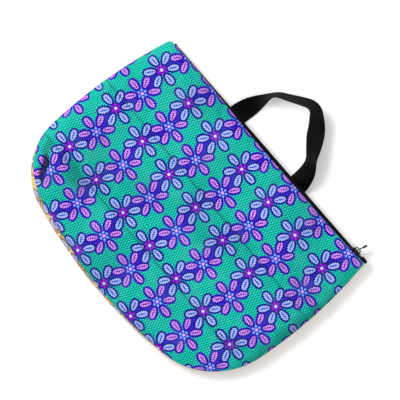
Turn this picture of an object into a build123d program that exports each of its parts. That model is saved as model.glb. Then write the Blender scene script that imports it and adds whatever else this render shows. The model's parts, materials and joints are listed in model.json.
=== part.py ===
"""Zipped laptop sleeve with a webbing carry handle, lying on its back panel.

Millimetres, +Z up out of the front panel, +X along the zip, +Y towards the mouth.
The origin is the centre of the flat underside that the sleeve rests on.
Each function returns one sub-part; every fit comes from the sizes and clearances named below.
"""

import math
import os

from build123d import *

os.makedirs("parts", exist_ok=True)

# Outline of the panels, seen from the front.
MOUTH_Y = 125.2
BOTTOM_Y = -125.2
BOTTOM_APEX_X = 3.0
BOTTOM_BOW_R = 600.0
LEFT_X = -182.0
LEFT_BOW_Y = -16.0
LEFT_BOW_R = 600.0
RIGHT_X = 182.5
RIGHT_BOW_Y = 36.0
RIGHT_BOW_R = 552.0
CORNER_R_LEFT = 78.0
CORNER_R_RIGHT = 95.0
MOUTH_CORNER_R = 4.0
MOUTH_LEFT_X = LEFT_X + LEFT_BOW_R - math.sqrt(LEFT_BOW_R**2 - (MOUTH_Y - LEFT_BOW_Y) ** 2)
MOUTH_RIGHT_X = RIGHT_X - RIGHT_BOW_R + math.sqrt(RIGHT_BOW_R**2 - (MOUTH_Y - RIGHT_BOW_Y) ** 2)

# Layers of each panel and the space between the panels.
COVER_T = 0.8
PADDING_T = 4.0
LINING_T = 0.6
CAVITY_T = 12.0
PANEL_T = COVER_T + PADDING_T + LINING_T
SLEEVE_T = 2 * PANEL_T + CAVITY_T
EDGE_R = 7.0

# The seam where front meets back: halfway at the mouth, higher at the bottom.
SEAM_Z_MOUTH = SLEEVE_T / 2
SEAM_RISE = 4.4
SOFT_GAP = 0.3

# Quilting: two rows across each panel, sunk in shallow channels.
QUILT_UPPER = ((-178.0, 40.1), (172.0, 34.4))
QUILT_LOWER = ((-178.0, -53.6), (172.0, -55.3))
CHANNEL_W = 2.4
CHANNEL_DEPTH = 0.45
THREAD_W = 0.9
THREAD_T = 0.3
QUILT_END_INSET = 12.0

# Binding tape over the raw seam inside the cavity.
BINDING_T = 0.8
BINDING_Z_LOW = EDGE_R + 0.2
BINDING_TOP_GAP = 0.5
BINDING_MOUTH_SETBACK = 2.5

# Zip fastener in the mouth, facing +Y.
ZIP_Z = SEAM_Z_MOUTH
TAPE_T = 0.7
TAPE_X = (MOUTH_LEFT_X + 5.2, MOUTH_RIGHT_X - 8.1)
TAPE_INNER_OFFSET = 0.8
TAPE_OUTER_OFFSET = 8.6
COIL_INNER_OFFSET = 0.7
COIL_W = 2.2
COIL_T = 1.8
COIL_X = (MOUTH_LEFT_X + 9.7, MOUTH_RIGHT_X - 10.9)
STOP_L = 2.6
STOP_T = 2.2
TAB_X = (MOUTH_RIGHT_X - 7.8, MOUTH_RIGHT_X - 1.1)
TAB_T = 2.8
TAB_HALF_H = 6.5
TAB_EDGE_R = 0.9

# Slider, its bridge and the pull.
SLIDER_X = MOUTH_RIGHT_X - 16.85
SLIDER_L = 11.5
SLIDER_W = 9.4
SLIDER_TAIL_W = 7.4
SLIDER_PLATE_T = 1.2
SLIDER_GAP_COIL = 0.3
SLIDER_GAP_TAPE = 0.4
SLIDER_CORNER_R = 1.3
FLANGE_W = 1.1
POST_L = 2.4
POST_T = 0.9
POST_SETBACK = 0.3
BRIDGE_HALF_L = 3.8
BRIDGE_LEG = 1.2
BRIDGE_CLEAR_H = 1.9
BRIDGE_T = 1.0
BRIDGE_W = 1.8
PULL_TILT = 15.5
PULL_ROD_R = 0.55
PULL_W = 6.0
PULL_T = 1.1
PULL_EYE_HALF_W = 1.4
PULL_EYE_L = 4.7
PULL_STEM_L = 9.4
PULL_L = 11.7
GRIP_START = 6.4
GRIP_T = 2.3
GRIP_W = 7.0
GRIP_EDGE_R = 0.7

# Handle: one flat webbing strap, both ends sewn in behind the mouth edge.
STRAP_W = 25.0
STRAP_T = 1.6
STRAP_Z = COVER_T + STRAP_T / 2
STRAP_LOW_Z = 0.3
STRAP_SEWN_L = 25.0
STRAP_STUB_L = 6.0
STRAP_BEND_GAP = 0.3
STRAP_BEND_Y = STRAP_STUB_L + STRAP_BEND_GAP + STRAP_T / 2
STRAP_LEFT_X = -49.7
STRAP_RIGHT_X = 56.4
# x, distance beyond the mouth, roll in degrees; the outer edge is the raised one.
STRAP_STATIONS = (
    (STRAP_LEFT_X, STRAP_BEND_Y, 0.0),
    (-49.2, 11.5, 3.0),
    (-48.0, 17.5, 9.0),
    (-46.6, 23.0, 20.0),
    (-45.1, 29.0, 38.0),
    (-43.4, 35.5, 58.0),
    (-39.6, 47.0, 78.0),
    (-26.2, 60.2, 74.0),
    (-12.0, 69.6, 69.0),
    (3.5, 72.8, 61.0),
    (18.0, 65.0, 44.0),
    (27.6, 54.7, 35.0),
    (36.8, 43.7, 46.0),
    (45.9, 31.7, 58.0),
    (51.0, 22.5, 22.0),
    (55.0, 13.6, 6.0),
    (STRAP_RIGHT_X, STRAP_BEND_Y, 0.0),
)
TACK_SIZE = 18.0
TACK_LINE_W = 0.9
TACK_RECESS = 0.35
TACK_THREAD_T = 0.25

BIG = 400.0


def slab(x, y, z):
    """Box between the given (low, high) pairs."""
    box = Box(x[1] - x[0], y[1] - y[0], z[1] - z[0])
    return Pos((x[0] + x[1]) / 2, (y[0] + y[1]) / 2, (z[0] + z[1]) / 2) * box


def outline(inset):
    """Panel outline moved in by inset at the sides and bottom, and run past the mouth."""
    left = Pos(LEFT_X + LEFT_BOW_R, LEFT_BOW_Y) * Circle(LEFT_BOW_R - inset)
    right = Pos(RIGHT_X - RIGHT_BOW_R, RIGHT_BOW_Y) * Circle(RIGHT_BOW_R - inset)
    bottom = Pos(BOTTOM_APEX_X, BOTTOM_Y + BOTTOM_BOW_R) * Circle(BOTTOM_BOW_R - inset)
    past_mouth = MOUTH_Y + EDGE_R
    window = Pos(0, past_mouth - BIG) * Rectangle(2 * BIG, 2 * BIG)
    face = left & right & bottom & window
    low = face.vertices().group_by(Axis.Y)[0]
    low += face.vertices().group_by(Axis.Y)[1]
    low = sorted(low, key=lambda v: v.X)
    face = fillet(low[0], CORNER_R_LEFT - inset)
    near = sorted(face.vertices(), key=lambda v: (v.Y > 0, -v.X))
    return fillet(near[0], CORNER_R_RIGHT - inset)


def pillow(inset):
    """Closed body of the sleeve moved in by inset, with its long edges rounded."""
    body = Pos(0, 0, inset) * extrude(outline(inset), SLEEVE_T - 2 * inset)
    past_mouth = MOUTH_Y + EDGE_R
    rims = [e for e in body.edges() if e.bounding_box().size.Z < 0.01]
    rims = [e for e in rims if e.bounding_box().min.Y < past_mouth - 0.1]
    return fillet(rims, EDGE_R - inset)


def mouth_prism():
    """Upright prism that ends every panel at the mouth with rounded corners."""
    width = MOUTH_RIGHT_X - MOUTH_LEFT_X
    middle = (MOUTH_LEFT_X + MOUTH_RIGHT_X) / 2
    wide = Pos(middle, MOUTH_Y - BIG / 2) * Rectangle(width, BIG)
    wide = fillet(wide.vertices().group_by(Axis.Y)[-1], MOUTH_CORNER_R)
    below = Pos(0, MOUTH_Y - MOUTH_CORNER_R - BIG) * Rectangle(2 * BIG, 2 * BIG)
    return Pos(0, 0, -BIG / 8) * extrude(wide + below, BIG / 4)


def seam_block(above):
    """Everything above or below the slanted seam, half a soft gap away from it."""
    rise = math.degrees(math.atan2(SEAM_RISE, MOUTH_Y - BOTTOM_Y))
    half = SOFT_GAP / 2
    side = 1 if above else -1
    block = Pos(0, 0, side * (half + BIG / 2)) * Box(2 * BIG, 2 * BIG, BIG)
    return Pos(0, MOUTH_Y, SEAM_Z_MOUTH) * Rot(-rise, 0, 0) * block


def shell(outer, inner, above, prism):
    """One layer of one panel between two nested pillows."""
    return (outer - inner) & seam_block(above) & prism


def quilt_strip(row, width, z_low, z_high, trim=0.0):
    """Straight strip along one quilting row."""
    (x0, y0), (x1, y1) = row
    length = math.hypot(x1 - x0, y1 - y0) - 2 * trim
    turn = math.degrees(math.atan2(y1 - y0, x1 - x0))
    strip = Box(length, width, z_high - z_low)
    return Pos((x0 + x1) / 2, (y0 + y1) / 2, (z_low + z_high) / 2) * Rot(0, 0, turn) * strip


def quilt_channels(z_low, z_high):
    """Cutter for the channels of both rows."""
    spread = 20.0
    upper = quilt_strip(QUILT_UPPER, CHANNEL_W, z_low, z_high, -spread)
    lower = quilt_strip(QUILT_LOWER, CHANNEL_W, z_low, z_high, -spread)
    return upper + lower


def quilt_threads(z_low, z_high):
    """Thread laid along the floor of both channels."""
    upper = quilt_strip(QUILT_UPPER, THREAD_W, z_low, z_high, QUILT_END_INSET)
    lower = quilt_strip(QUILT_LOWER, THREAD_W, z_low, z_high, QUILT_END_INSET)
    return upper + lower


def tack_centres():
    """Centres of the two stitched boxes that hold the strap ends."""
    y = MOUTH_Y - STRAP_SEWN_L / 2
    return ((STRAP_LEFT_X, y), (STRAP_RIGHT_X, y))


def tack_recess():
    """Cutter for the shallow seats of the stitched boxes in the underside."""
    seats = None
    for x, y in tack_centres():
        seat = Pos(x, y, 0) * Box(TACK_SIZE + 2, TACK_SIZE + 2, 2 * TACK_RECESS)
        seats = seat if seats is None else seats + seat
    return seats


def handle_tacks():
    """Box-and-cross stitching under each strap end."""
    tacks = None
    z_mid = TACK_RECESS - TACK_THREAD_T / 2
    diagonal = TACK_SIZE * math.sqrt(2) - 2 * TACK_LINE_W
    for x, y in tack_centres():
        outer = Box(TACK_SIZE, TACK_SIZE, TACK_THREAD_T)
        hole = TACK_SIZE - 2 * TACK_LINE_W
        tack = outer - Box(hole, hole, TACK_THREAD_T)
        for turn in (45, -45):
            tack += Rot(0, 0, turn) * Box(diagonal, TACK_LINE_W, TACK_THREAD_T)
        tack = Pos(x, y, z_mid) * tack
        tacks = tack if tacks is None else tacks + tack
    return tacks


def strap_slot(x):
    """Room for one sewn-in strap end between cover and padding."""
    half = STRAP_W / 2
    y = (MOUTH_Y - STRAP_SEWN_L, MOUTH_Y + EDGE_R)
    return slab((x - half, x + half), y, (COVER_T, COVER_T + STRAP_T))


def handle_end(x):
    """One end of the strap: sewn in, and run out to where the handle bends."""
    half = STRAP_W / 2
    y = (MOUTH_Y - STRAP_SEWN_L, MOUTH_Y + STRAP_STUB_L)
    return slab((x - half, x + half), y, (COVER_T, COVER_T + STRAP_T))


def strap_section(here, along, roll):
    """Cross-section of the strap, square to its run and rolled about it."""
    along = Vector(along[0], along[1], 0).normalized()
    outward = Vector(0, 0, 1).cross(along)
    angle = math.radians(roll)
    width_dir = outward * math.cos(angle) + Vector(0, 0, 1) * math.sin(angle)
    low = STRAP_W / 2 * math.sin(angle) + STRAP_T / 2 * math.cos(angle)
    z = max(STRAP_LOW_Z + low, STRAP_Z)
    plane = Plane(origin=(here[0], MOUTH_Y + here[1], z), x_dir=width_dir, z_dir=along)
    return plane * Rectangle(STRAP_W, STRAP_T)


def strap_bend(x):
    """Round end of the loop, on the line where the strap bends next to its sewn end."""
    bend = Rot(0, 90, 0) * Cylinder(STRAP_T / 2, STRAP_W)
    return Pos(x, MOUTH_Y + STRAP_BEND_Y, STRAP_Z) * bend


def handle_webbing():
    """The free loop of the strap, which twists up on edge and lies on the table."""
    points = [(x, y) for x, y, _ in STRAP_STATIONS]
    sections = []
    for i, (x, y, roll) in enumerate(STRAP_STATIONS):
        if i == 0:
            along = (0, 1)
        elif i == len(points) - 1:
            along = (0, -1)
        else:
            (x0, y0), (x1, y1) = points[i - 1], points[i + 1]
            along = (x1 - x0, y1 - y0)
        sections.append(strap_section((x, y), along, roll).faces()[0])
    return loft(sections) + strap_bend(STRAP_LEFT_X) + strap_bend(STRAP_RIGHT_X)


def zip_tape(above):
    """Woven tape from the coil to the panel edge."""
    side = 1 if above else -1
    z = sorted((ZIP_Z + side * TAPE_INNER_OFFSET, ZIP_Z + side * TAPE_OUTER_OFFSET))
    return slab(TAPE_X, (MOUTH_Y, MOUTH_Y + TAPE_T), z)


def zip_coil(above):
    """One row of the coil, kept to its outer size."""
    side = 1 if above else -1
    near = COIL_INNER_OFFSET + 0.1
    z = sorted((ZIP_Z + side * near, ZIP_Z + side * (near + COIL_W)))
    y = (MOUTH_Y + TAPE_T, MOUTH_Y + TAPE_T + COIL_T)
    coil = slab(COIL_X, y, z)
    edges = coil.edges().filter_by(Axis.X).group_by(Axis.Y)[-1]
    return fillet(edges, COIL_T / 3)


def top_stop(above):
    """Metal clamp on one tape, past the closed slider."""
    side = 1 if above else -1
    z = sorted((ZIP_Z + side * (TAPE_INNER_OFFSET + 0.1), ZIP_Z + side * 3.3))
    x = (COIL_X[1] + 0.1, COIL_X[1] + 0.1 + STOP_L)
    stop = slab(x, (MOUTH_Y + TAPE_T, MOUTH_Y + TAPE_T + STOP_T), z)
    return fillet(stop.edges().group_by(Axis.Y)[-1], 0.5)


def bottom_stop():
    """Metal clamp over the start of the zip."""
    half = 3.4
    x = (COIL_X[0] - STOP_L, COIL_X[0])
    stop = slab(x, (MOUTH_Y + TAPE_T, MOUTH_Y + TAPE_T + STOP_T), (ZIP_Z - half, ZIP_Z + half))
    return fillet(stop.edges().group_by(Axis.Y)[-1], 0.5)


def end_tab():
    """Folded fabric over the tape ends, next to the side seam."""
    y = (MOUTH_Y + TAPE_T, MOUTH_Y + TAPE_T + TAB_T)
    tab = slab(TAB_X, y, (ZIP_Z - TAB_HALF_H, ZIP_Z + TAB_HALF_H))
    root = slab(TAB_X, (MOUTH_Y, MOUTH_Y + TAPE_T), (ZIP_Z - TAB_HALF_H, ZIP_Z - 1))
    return fillet(tab.edges().group_by(Axis.Y)[-1], TAB_EDGE_R) + root


def slider_plate(y_low, y_high):
    """Slider plate with its tail narrower than its shoulders."""
    half = SLIDER_L / 2
    wide, tail = SLIDER_W / 2, SLIDER_TAIL_W / 2
    points = [(-half, -tail), (half, -wide), (half, wide), (-half, tail)]
    face = make_face(Polyline(*points, close=True))
    face = fillet(face.vertices(), SLIDER_CORNER_R)
    plane = Plane(origin=(SLIDER_X, y_high, ZIP_Z), x_dir=(1, 0, 0), z_dir=(0, 1, 0))
    return plane * extrude(face, -(y_high - y_low))


def slider_levels():
    """Heights of the slider's plates along Y."""
    outer_low = MOUTH_Y + TAPE_T + COIL_T + SLIDER_GAP_COIL
    inner_high = MOUTH_Y - SLIDER_GAP_TAPE
    return inner_high - SLIDER_PLATE_T, inner_high, outer_low, outer_low + SLIDER_PLATE_T


def slider_body():
    """Both plates, the flanges over the coil and the post that parts it."""
    in_low, in_high, out_low, out_high = slider_levels()
    body = slider_plate(in_low, in_high) + slider_plate(out_low, out_high)
    half = SLIDER_L / 2
    flange_y = (MOUTH_Y + TAPE_T + SLIDER_GAP_TAPE, out_low + SLIDER_PLATE_T / 2)
    reach = SLIDER_TAIL_W / 2
    x = (SLIDER_X - half + SLIDER_CORNER_R, SLIDER_X + half - SLIDER_CORNER_R)
    for side in (1, -1):
        z = sorted((ZIP_Z + side * (reach - 0.35), ZIP_Z + side * (reach - 0.35 + FLANGE_W)))
        body += slab(x, flange_y, z) & slider_plate(flange_y[0], out_high)
    post_x = (SLIDER_X + half - POST_SETBACK - POST_L, SLIDER_X + half - POST_SETBACK)
    post = slab(post_x, (in_low, out_high), (ZIP_Z - POST_T / 2, ZIP_Z + POST_T / 2))
    return body + post


def slider_bridge():
    """Small arch along the slider that the pull hangs from."""
    top = slider_levels()[3]
    height = BRIDGE_CLEAR_H + BRIDGE_T
    x = (SLIDER_X - BRIDGE_HALF_L, SLIDER_X + BRIDGE_HALF_L)
    z = (ZIP_Z - BRIDGE_W / 2, ZIP_Z + BRIDGE_W / 2)
    arch = slab(x, (top, top + height), z)
    arch = fillet(arch.edges().filter_by(Axis.Z).group_by(Axis.Y)[-1], BRIDGE_T)
    inner_x = (x[0] + BRIDGE_LEG, x[1] - BRIDGE_LEG)
    return arch - slab(inner_x, (top, top + BRIDGE_CLEAR_H), z)


def pull_place():
    """Frame of the pull: origin on its rod, local Y along the pull, at its rest angle."""
    y = slider_levels()[3] + BRIDGE_CLEAR_H / 2
    return Pos(SLIDER_X, y, ZIP_Z) * Rot(0, 0, -PULL_TILT)


def pull_tab():
    """Metal pull: rod under the bridge, two arms and a stem."""
    half_t, half_w = PULL_T / 2, PULL_W / 2
    plate = slab((-half_t, half_t), (0, PULL_STEM_L), (-half_w, half_w))
    plate = fillet(plate.edges().filter_by(Axis.X).group_by(Axis.Y)[-1], 1.2)
    eye = slab((-1, 1), (-1, PULL_EYE_L), (-PULL_EYE_HALF_W, PULL_EYE_HALF_W))
    rod = Cylinder(PULL_ROD_R, PULL_W)
    return pull_place() * (plate - eye + rod)


def pull_grip():
    """Moulded grip over the end of the metal pull."""
    half_t, half_w = GRIP_T / 2, GRIP_W / 2
    grip = slab((-half_t, half_t), (GRIP_START, PULL_L), (-half_w, half_w))
    grip = fillet(grip.edges().filter_by(Axis.X), 1.5)
    grip = fillet(grip.edges().group_by(Axis.Y)[-1], GRIP_EDGE_R)
    return pull_place() * grip - pull_tab()


def seam_binding(x, y):
    """Stretch of the binding tape on the inner wall, between x and y limits."""
    z_high = SEAM_Z_MOUTH - BINDING_TOP_GAP
    ring = outline(PANEL_T) - outline(PANEL_T + BINDING_T)
    band = Pos(0, 0, BINDING_Z_LOW) * extrude(ring, z_high - BINDING_Z_LOW)
    return band & slab(x, y, (0, SLEEVE_T))


def seam_bindings():
    """The three stretches of the binding tape: left, bottom and right."""
    split_y = -40.0
    top = MOUTH_Y - BINDING_MOUTH_SETBACK
    return {
        "seam_binding_left": seam_binding((-BIG, 0), (split_y, top)),
        "seam_binding_bottom": seam_binding((-BIG, BIG), (-BIG, split_y)),
        "seam_binding_right": seam_binding((0, BIG), (split_y, top)),
    }


def panels():
    """Cover, padding and lining of the front and of the back."""
    prism = mouth_prism()
    insets = (0, COVER_T, COVER_T + PADDING_T, PANEL_T)
    nested = [pillow(inset) for inset in insets]
    made = {}
    for side, above in (("front", True), ("back", False)):
        for i, layer in enumerate(("cover", "padding", "lining")):
            made[f"{side}_{layer}"] = shell(nested[i], nested[i + 1], above, prism)
    made["front_cover"] -= quilt_channels(SLEEVE_T - CHANNEL_DEPTH, SLEEVE_T + 1)
    made["back_cover"] -= quilt_channels(-1, CHANNEL_DEPTH)
    made["back_cover"] -= tack_recess()
    made["back_padding"] -= strap_slot(STRAP_LEFT_X)
    made["back_padding"] -= strap_slot(STRAP_RIGHT_X)
    return made


def build():
    """All nodes by name."""
    front_floor = SLEEVE_T - CHANNEL_DEPTH
    nodes = panels()
    nodes.update(seam_bindings())
    nodes["quilt_stitch_front"] = quilt_threads(front_floor, front_floor + THREAD_T)
    nodes["quilt_stitch_back"] = quilt_threads(CHANNEL_DEPTH - THREAD_T, CHANNEL_DEPTH)
    nodes["handle_tacks"] = handle_tacks()
    nodes["handle_end_left"] = handle_end(STRAP_LEFT_X)
    nodes["handle_end_right"] = handle_end(STRAP_RIGHT_X)
    nodes["handle_webbing"] = handle_webbing()
    nodes["zip_tape_front"] = zip_tape(True)
    nodes["zip_tape_back"] = zip_tape(False)
    nodes["zip_coil_front"] = zip_coil(True)
    nodes["zip_coil_back"] = zip_coil(False)
    nodes["zip_top_stop_front"] = top_stop(True)
    nodes["zip_top_stop_back"] = top_stop(False)
    nodes["zip_bottom_stop"] = bottom_stop()
    nodes["zip_end_tab"] = end_tab()
    nodes["slider_body"] = slider_body()
    nodes["slider_bridge"] = slider_bridge()
    nodes["pull_tab"] = pull_tab()
    nodes["pull_grip"] = pull_grip()
    return nodes


for node, shape in build().items():
    export_step(shape, f"parts/{node}.step")
    print(node, len(shape.solids()), round(shape.volume, 1))
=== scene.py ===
"""Looks of a zipped laptop sleeve with a webbing handle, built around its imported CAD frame.

Lengths are millimetres in this file and metres in Blender. +X runs along the zip, +Y towards the
mouth, +Z out of the front panel, and the sleeve lies on its back panel.
"""

import json
import logging
import math
from dataclasses import dataclass, field
from enum import Enum
from functools import partialmethod
from typing import Any, Callable, Iterable, Optional, Sequence, Union

import bmesh
import bpy
import numpy as np
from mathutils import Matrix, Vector
from mathutils.bvhtree import BVHTree

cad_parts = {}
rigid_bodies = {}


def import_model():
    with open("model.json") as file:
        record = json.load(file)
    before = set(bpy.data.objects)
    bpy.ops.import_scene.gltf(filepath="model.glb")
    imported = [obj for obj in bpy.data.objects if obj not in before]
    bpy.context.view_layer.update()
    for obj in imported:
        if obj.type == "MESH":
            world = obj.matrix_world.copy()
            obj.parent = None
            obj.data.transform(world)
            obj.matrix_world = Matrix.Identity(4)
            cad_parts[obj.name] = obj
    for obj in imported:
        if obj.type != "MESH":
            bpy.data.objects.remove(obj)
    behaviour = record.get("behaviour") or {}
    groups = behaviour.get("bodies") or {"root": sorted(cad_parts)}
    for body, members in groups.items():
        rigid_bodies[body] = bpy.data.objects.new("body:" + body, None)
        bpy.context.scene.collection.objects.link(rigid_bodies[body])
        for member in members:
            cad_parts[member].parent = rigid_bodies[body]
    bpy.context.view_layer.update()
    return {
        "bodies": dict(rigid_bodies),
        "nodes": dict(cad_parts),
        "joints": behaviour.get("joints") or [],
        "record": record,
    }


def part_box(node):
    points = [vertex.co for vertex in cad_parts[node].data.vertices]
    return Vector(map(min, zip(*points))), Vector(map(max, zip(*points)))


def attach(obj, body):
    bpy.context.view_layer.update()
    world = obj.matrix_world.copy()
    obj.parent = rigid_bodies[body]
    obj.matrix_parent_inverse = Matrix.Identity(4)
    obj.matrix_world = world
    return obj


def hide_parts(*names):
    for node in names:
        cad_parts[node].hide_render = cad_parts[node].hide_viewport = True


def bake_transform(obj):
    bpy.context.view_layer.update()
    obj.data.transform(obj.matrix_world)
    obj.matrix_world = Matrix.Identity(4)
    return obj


log = logging.getLogger("sleeve")
MM = 0.001
TAU = 2 * math.pi
UP = np.array([0.0, 0.0, 1.0])
SETTLE_FRAMES = 20
Points = np.ndarray
Number = Union[float, "Value"]
Pair = tuple[float, float]
Rgb = tuple[float, float, float]
Stops = tuple[Pair, ...]


# ---------------------------------------------------------------- quilting rows, and folds with their painted shade


@dataclass(frozen=True)
class Row:
    """A quilting row, by its ends."""

    left: Pair
    right: Pair

    def rise(self, x: Any) -> Any:
        """How far the row has risen from its left end where it passes x."""
        (x0, y0), (x1, y1) = self.left, self.right
        return (y1 - y0) / (x1 - x0) * (x - x0)


@dataclass(frozen=True)
class Fold:
    """A crease or a turn of the cloth, as a patch of painted shade: its middle, its direction, its
    size and how dark the painted shade is.
    """

    middle: Pair
    way: Pair
    half_width: float
    half_length: float
    dark: float

    def local(self, x: Any, y: Any) -> tuple[Any, Any]:
        """Place along and across the fold, from its middle."""
        (cx, cy), (ux, uy) = self.middle, self.way
        return (x - cx) * ux + (y - cy) * uy, (y - cy) * ux - (x - cx) * uy


ROWS = (Row((-178.0, 40.1), (172.0, 34.4)), Row((-178.0, -53.6), (172.0, -55.3)))

DENT = Fold((-149.5, -79.5), (0.62, -0.785), 5.6, 25.0, 0.9)
# The deep crease of the soft corner, under painted shade; the only one of these folds that the mesh
# carries too, as a dent.
"""The deep crease of the soft corner, the only fold that the mesh carries too."""

FOLD_SHADES = (
    DENT,
    Fold((-124.0, -58.0), (0.954, -0.3), 12.0, 40.0, 0.36),
    Fold((-163.5, -62.0), (0.62, -0.785), 7.0, 15.0, 0.4),
    # Painted shade down the right side, where the cloth turns away from the light.
    Fold((181.0, 5.0), (0.03, 1.0), 14.0, 120.0, 0.3),
)
# Painted shade: dark spots over the soft corner, of which only the first lies on a dent in the
# mesh, and a long dark band down the right side where the cloth turns away from the light.
"""Folds of the soft corner, and the turn of the right side."""


# ---------------------------------------------------------------- numbers and curves


def smooth(t: Points) -> Points:
    """Ease from 0 to 1 with flat ends."""
    t = np.clip(t, 0.0, 1.0)
    return t * t * (3 - 2 * t)


def ramp(x: Points, stops: Sequence[Pair]) -> Points:
    """Read a softened broken line.

    Args:
        x: where to read it.
        stops: (position, value) pairs in rising order.
    Returns:
        The value at each x.
    """
    at, (places, values) = np.asarray(x, float), np.array(stops, float).T
    shifts = (-6.0, -3.0, 0.0, 3.0, 6.0)
    return sum(np.interp(at + shift, places, values) / len(shifts) for shift in shifts)


def unit(rows: Points) -> Points:
    """Each row scaled to length 1."""
    return rows / np.linalg.norm(rows, axis=1)[:, None]


def around(count: int) -> Points:
    """Angles of that many points spaced evenly around a circle."""
    return np.linspace(0, TAU, count + 1)[:-1]


def boxy(wave: Points, power: float) -> Points:
    """A sine or cosine flattened towards -1 and 1."""
    return np.sign(wave) * np.abs(wave) ** power


def bell(x: Points, width: float) -> Points:
    """Smooth hill of height 1 about 0, down to 0.37 at that width."""
    return np.exp(-((x / width) ** 2))


def run_along(line: Points) -> Points:
    """Distance from a polyline's start to each of its points."""
    return np.r_[0, np.cumsum(np.linalg.norm(np.diff(line, axis=0), axis=1))]


def read_at(at: Points, run: Points, rows: Points) -> Points:
    """Rows of numbers, read at distances along the line that they go with."""
    return np.stack([np.interp(at, run, column) for column in rows.T], -1)


def resample(line: Points, count: int) -> Points:
    """Points evenly spaced along a polyline.

    Args:
        line: its points, one per row.
        count: how many points to return, ends included.
    Returns:
        The new points.
    """
    run = run_along(line)
    return read_at(np.linspace(0, run[-1], count), run, line)


def spline(stops: Points, step: float) -> Points:
    """Smooth curve through rows of numbers.

    Args:
        stops: one row per point; the first two columns are its place.
        step: spacing of the points returned.
    Returns:
        Catmull-Rom samples through every row.
    """
    padded = np.vstack([2 * stops[0] - stops[1], stops, 2 * stops[-1] - stops[-2]])
    out = []
    for a, b, c, d in zip(padded, padded[1:], padded[2:], padded[3:]):
        count = max(2, int(np.linalg.norm((c - b)[:2]) / step))
        square, cube = 2 * a - 5 * b + 4 * c - d, 3 * b - a - 3 * c + d
        for t in np.arange(count) / count:
            out.append(0.5 * (2 * b + (c - a) * t + square * t**2 + cube * t**3))
    return np.vstack([out, stops[-1]])


def waves(x: Points, y: Points, seed: int, lengths: Pair, count: int = 7) -> Points:
    """Gentle random undulation.

    Args:
        x, y: where to read it.
        seed: picks the undulation.
        lengths: shortest and longest wave.
        count: how many waves are added up.
    Returns:
        A height of about -1 to 1 at each point.
    """
    rng = np.random.RandomState(seed)
    total = np.zeros_like(x)
    for _ in range(count):
        turn, phase = rng.uniform(0, math.pi), rng.uniform(0, TAU)
        k = TAU / rng.uniform(*lengths)
        total = total + np.sin(k * (x * math.cos(turn) + y * math.sin(turn)) + phase)
    return total / math.sqrt(count) * 0.8


# ---------------------------------------------------------------- shader kit


class Value:
    """A number on a surface: wraps a socket, and its operators add Math nodes.

    `most` and `least` give the larger and the smaller of two.
    """

    def __init__(self, paint: "Paint", socket: Any) -> None:
        """Keep the socket and the paint it belongs to."""
        self.paint, self.socket = paint, socket

    def math(self, operation: str, *others: Number) -> "Value":
        """Add one Math node.

        Args:
            operation: its operation.
            others: the further operands.
        Returns:
            Its result.
        """
        inputs = dict(enumerate((self, *others)))
        node = self.paint.node("ShaderNodeMath", {"operation": operation}, inputs)
        return Value(self.paint, node.outputs[0])

    __add__ = __radd__ = partialmethod(math, "ADD")
    __sub__ = partialmethod(math, "SUBTRACT")
    __mul__ = __rmul__ = partialmethod(math, "MULTIPLY")
    __truediv__ = partialmethod(math, "DIVIDE")
    __pow__ = partialmethod(math, "POWER")
    __abs__ = partialmethod(math, "ABSOLUTE")
    most = partialmethod(math, "MAXIMUM")
    least = partialmethod(math, "MINIMUM")

    def __rsub__(self, other: Number) -> "Value":
        """Difference from a number."""
        return (self * -1.0).math("ADD", other)

    def sine(self, length: float) -> "Value":
        """Sine wave of that length."""
        return (self * (TAU / length)).math("SINE")

    def cosine(self, length: float) -> "Value":
        """Cosine wave of that length."""
        return (self * (TAU / length)).math("COSINE")

    def wrap(self, low: float, high: float) -> "Value":
        """Bring it between low and high by whole turns."""
        return self.math("WRAP", high, low)

    def step(self, low: Number, high: Number) -> "Value":
        """Ease from 0 at low to 1 at high, where low may be the larger.

        Args:
            low: where the result is 0.
            high: where the result is 1.
        Returns:
            The eased value.
        """
        eased = {"interpolation_type": "SMOOTHSTEP"}
        node = self.paint.node("ShaderNodeMapRange", eased, {0: self, 1: low, 2: high})
        return Value(self.paint, node.outputs[0])


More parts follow.
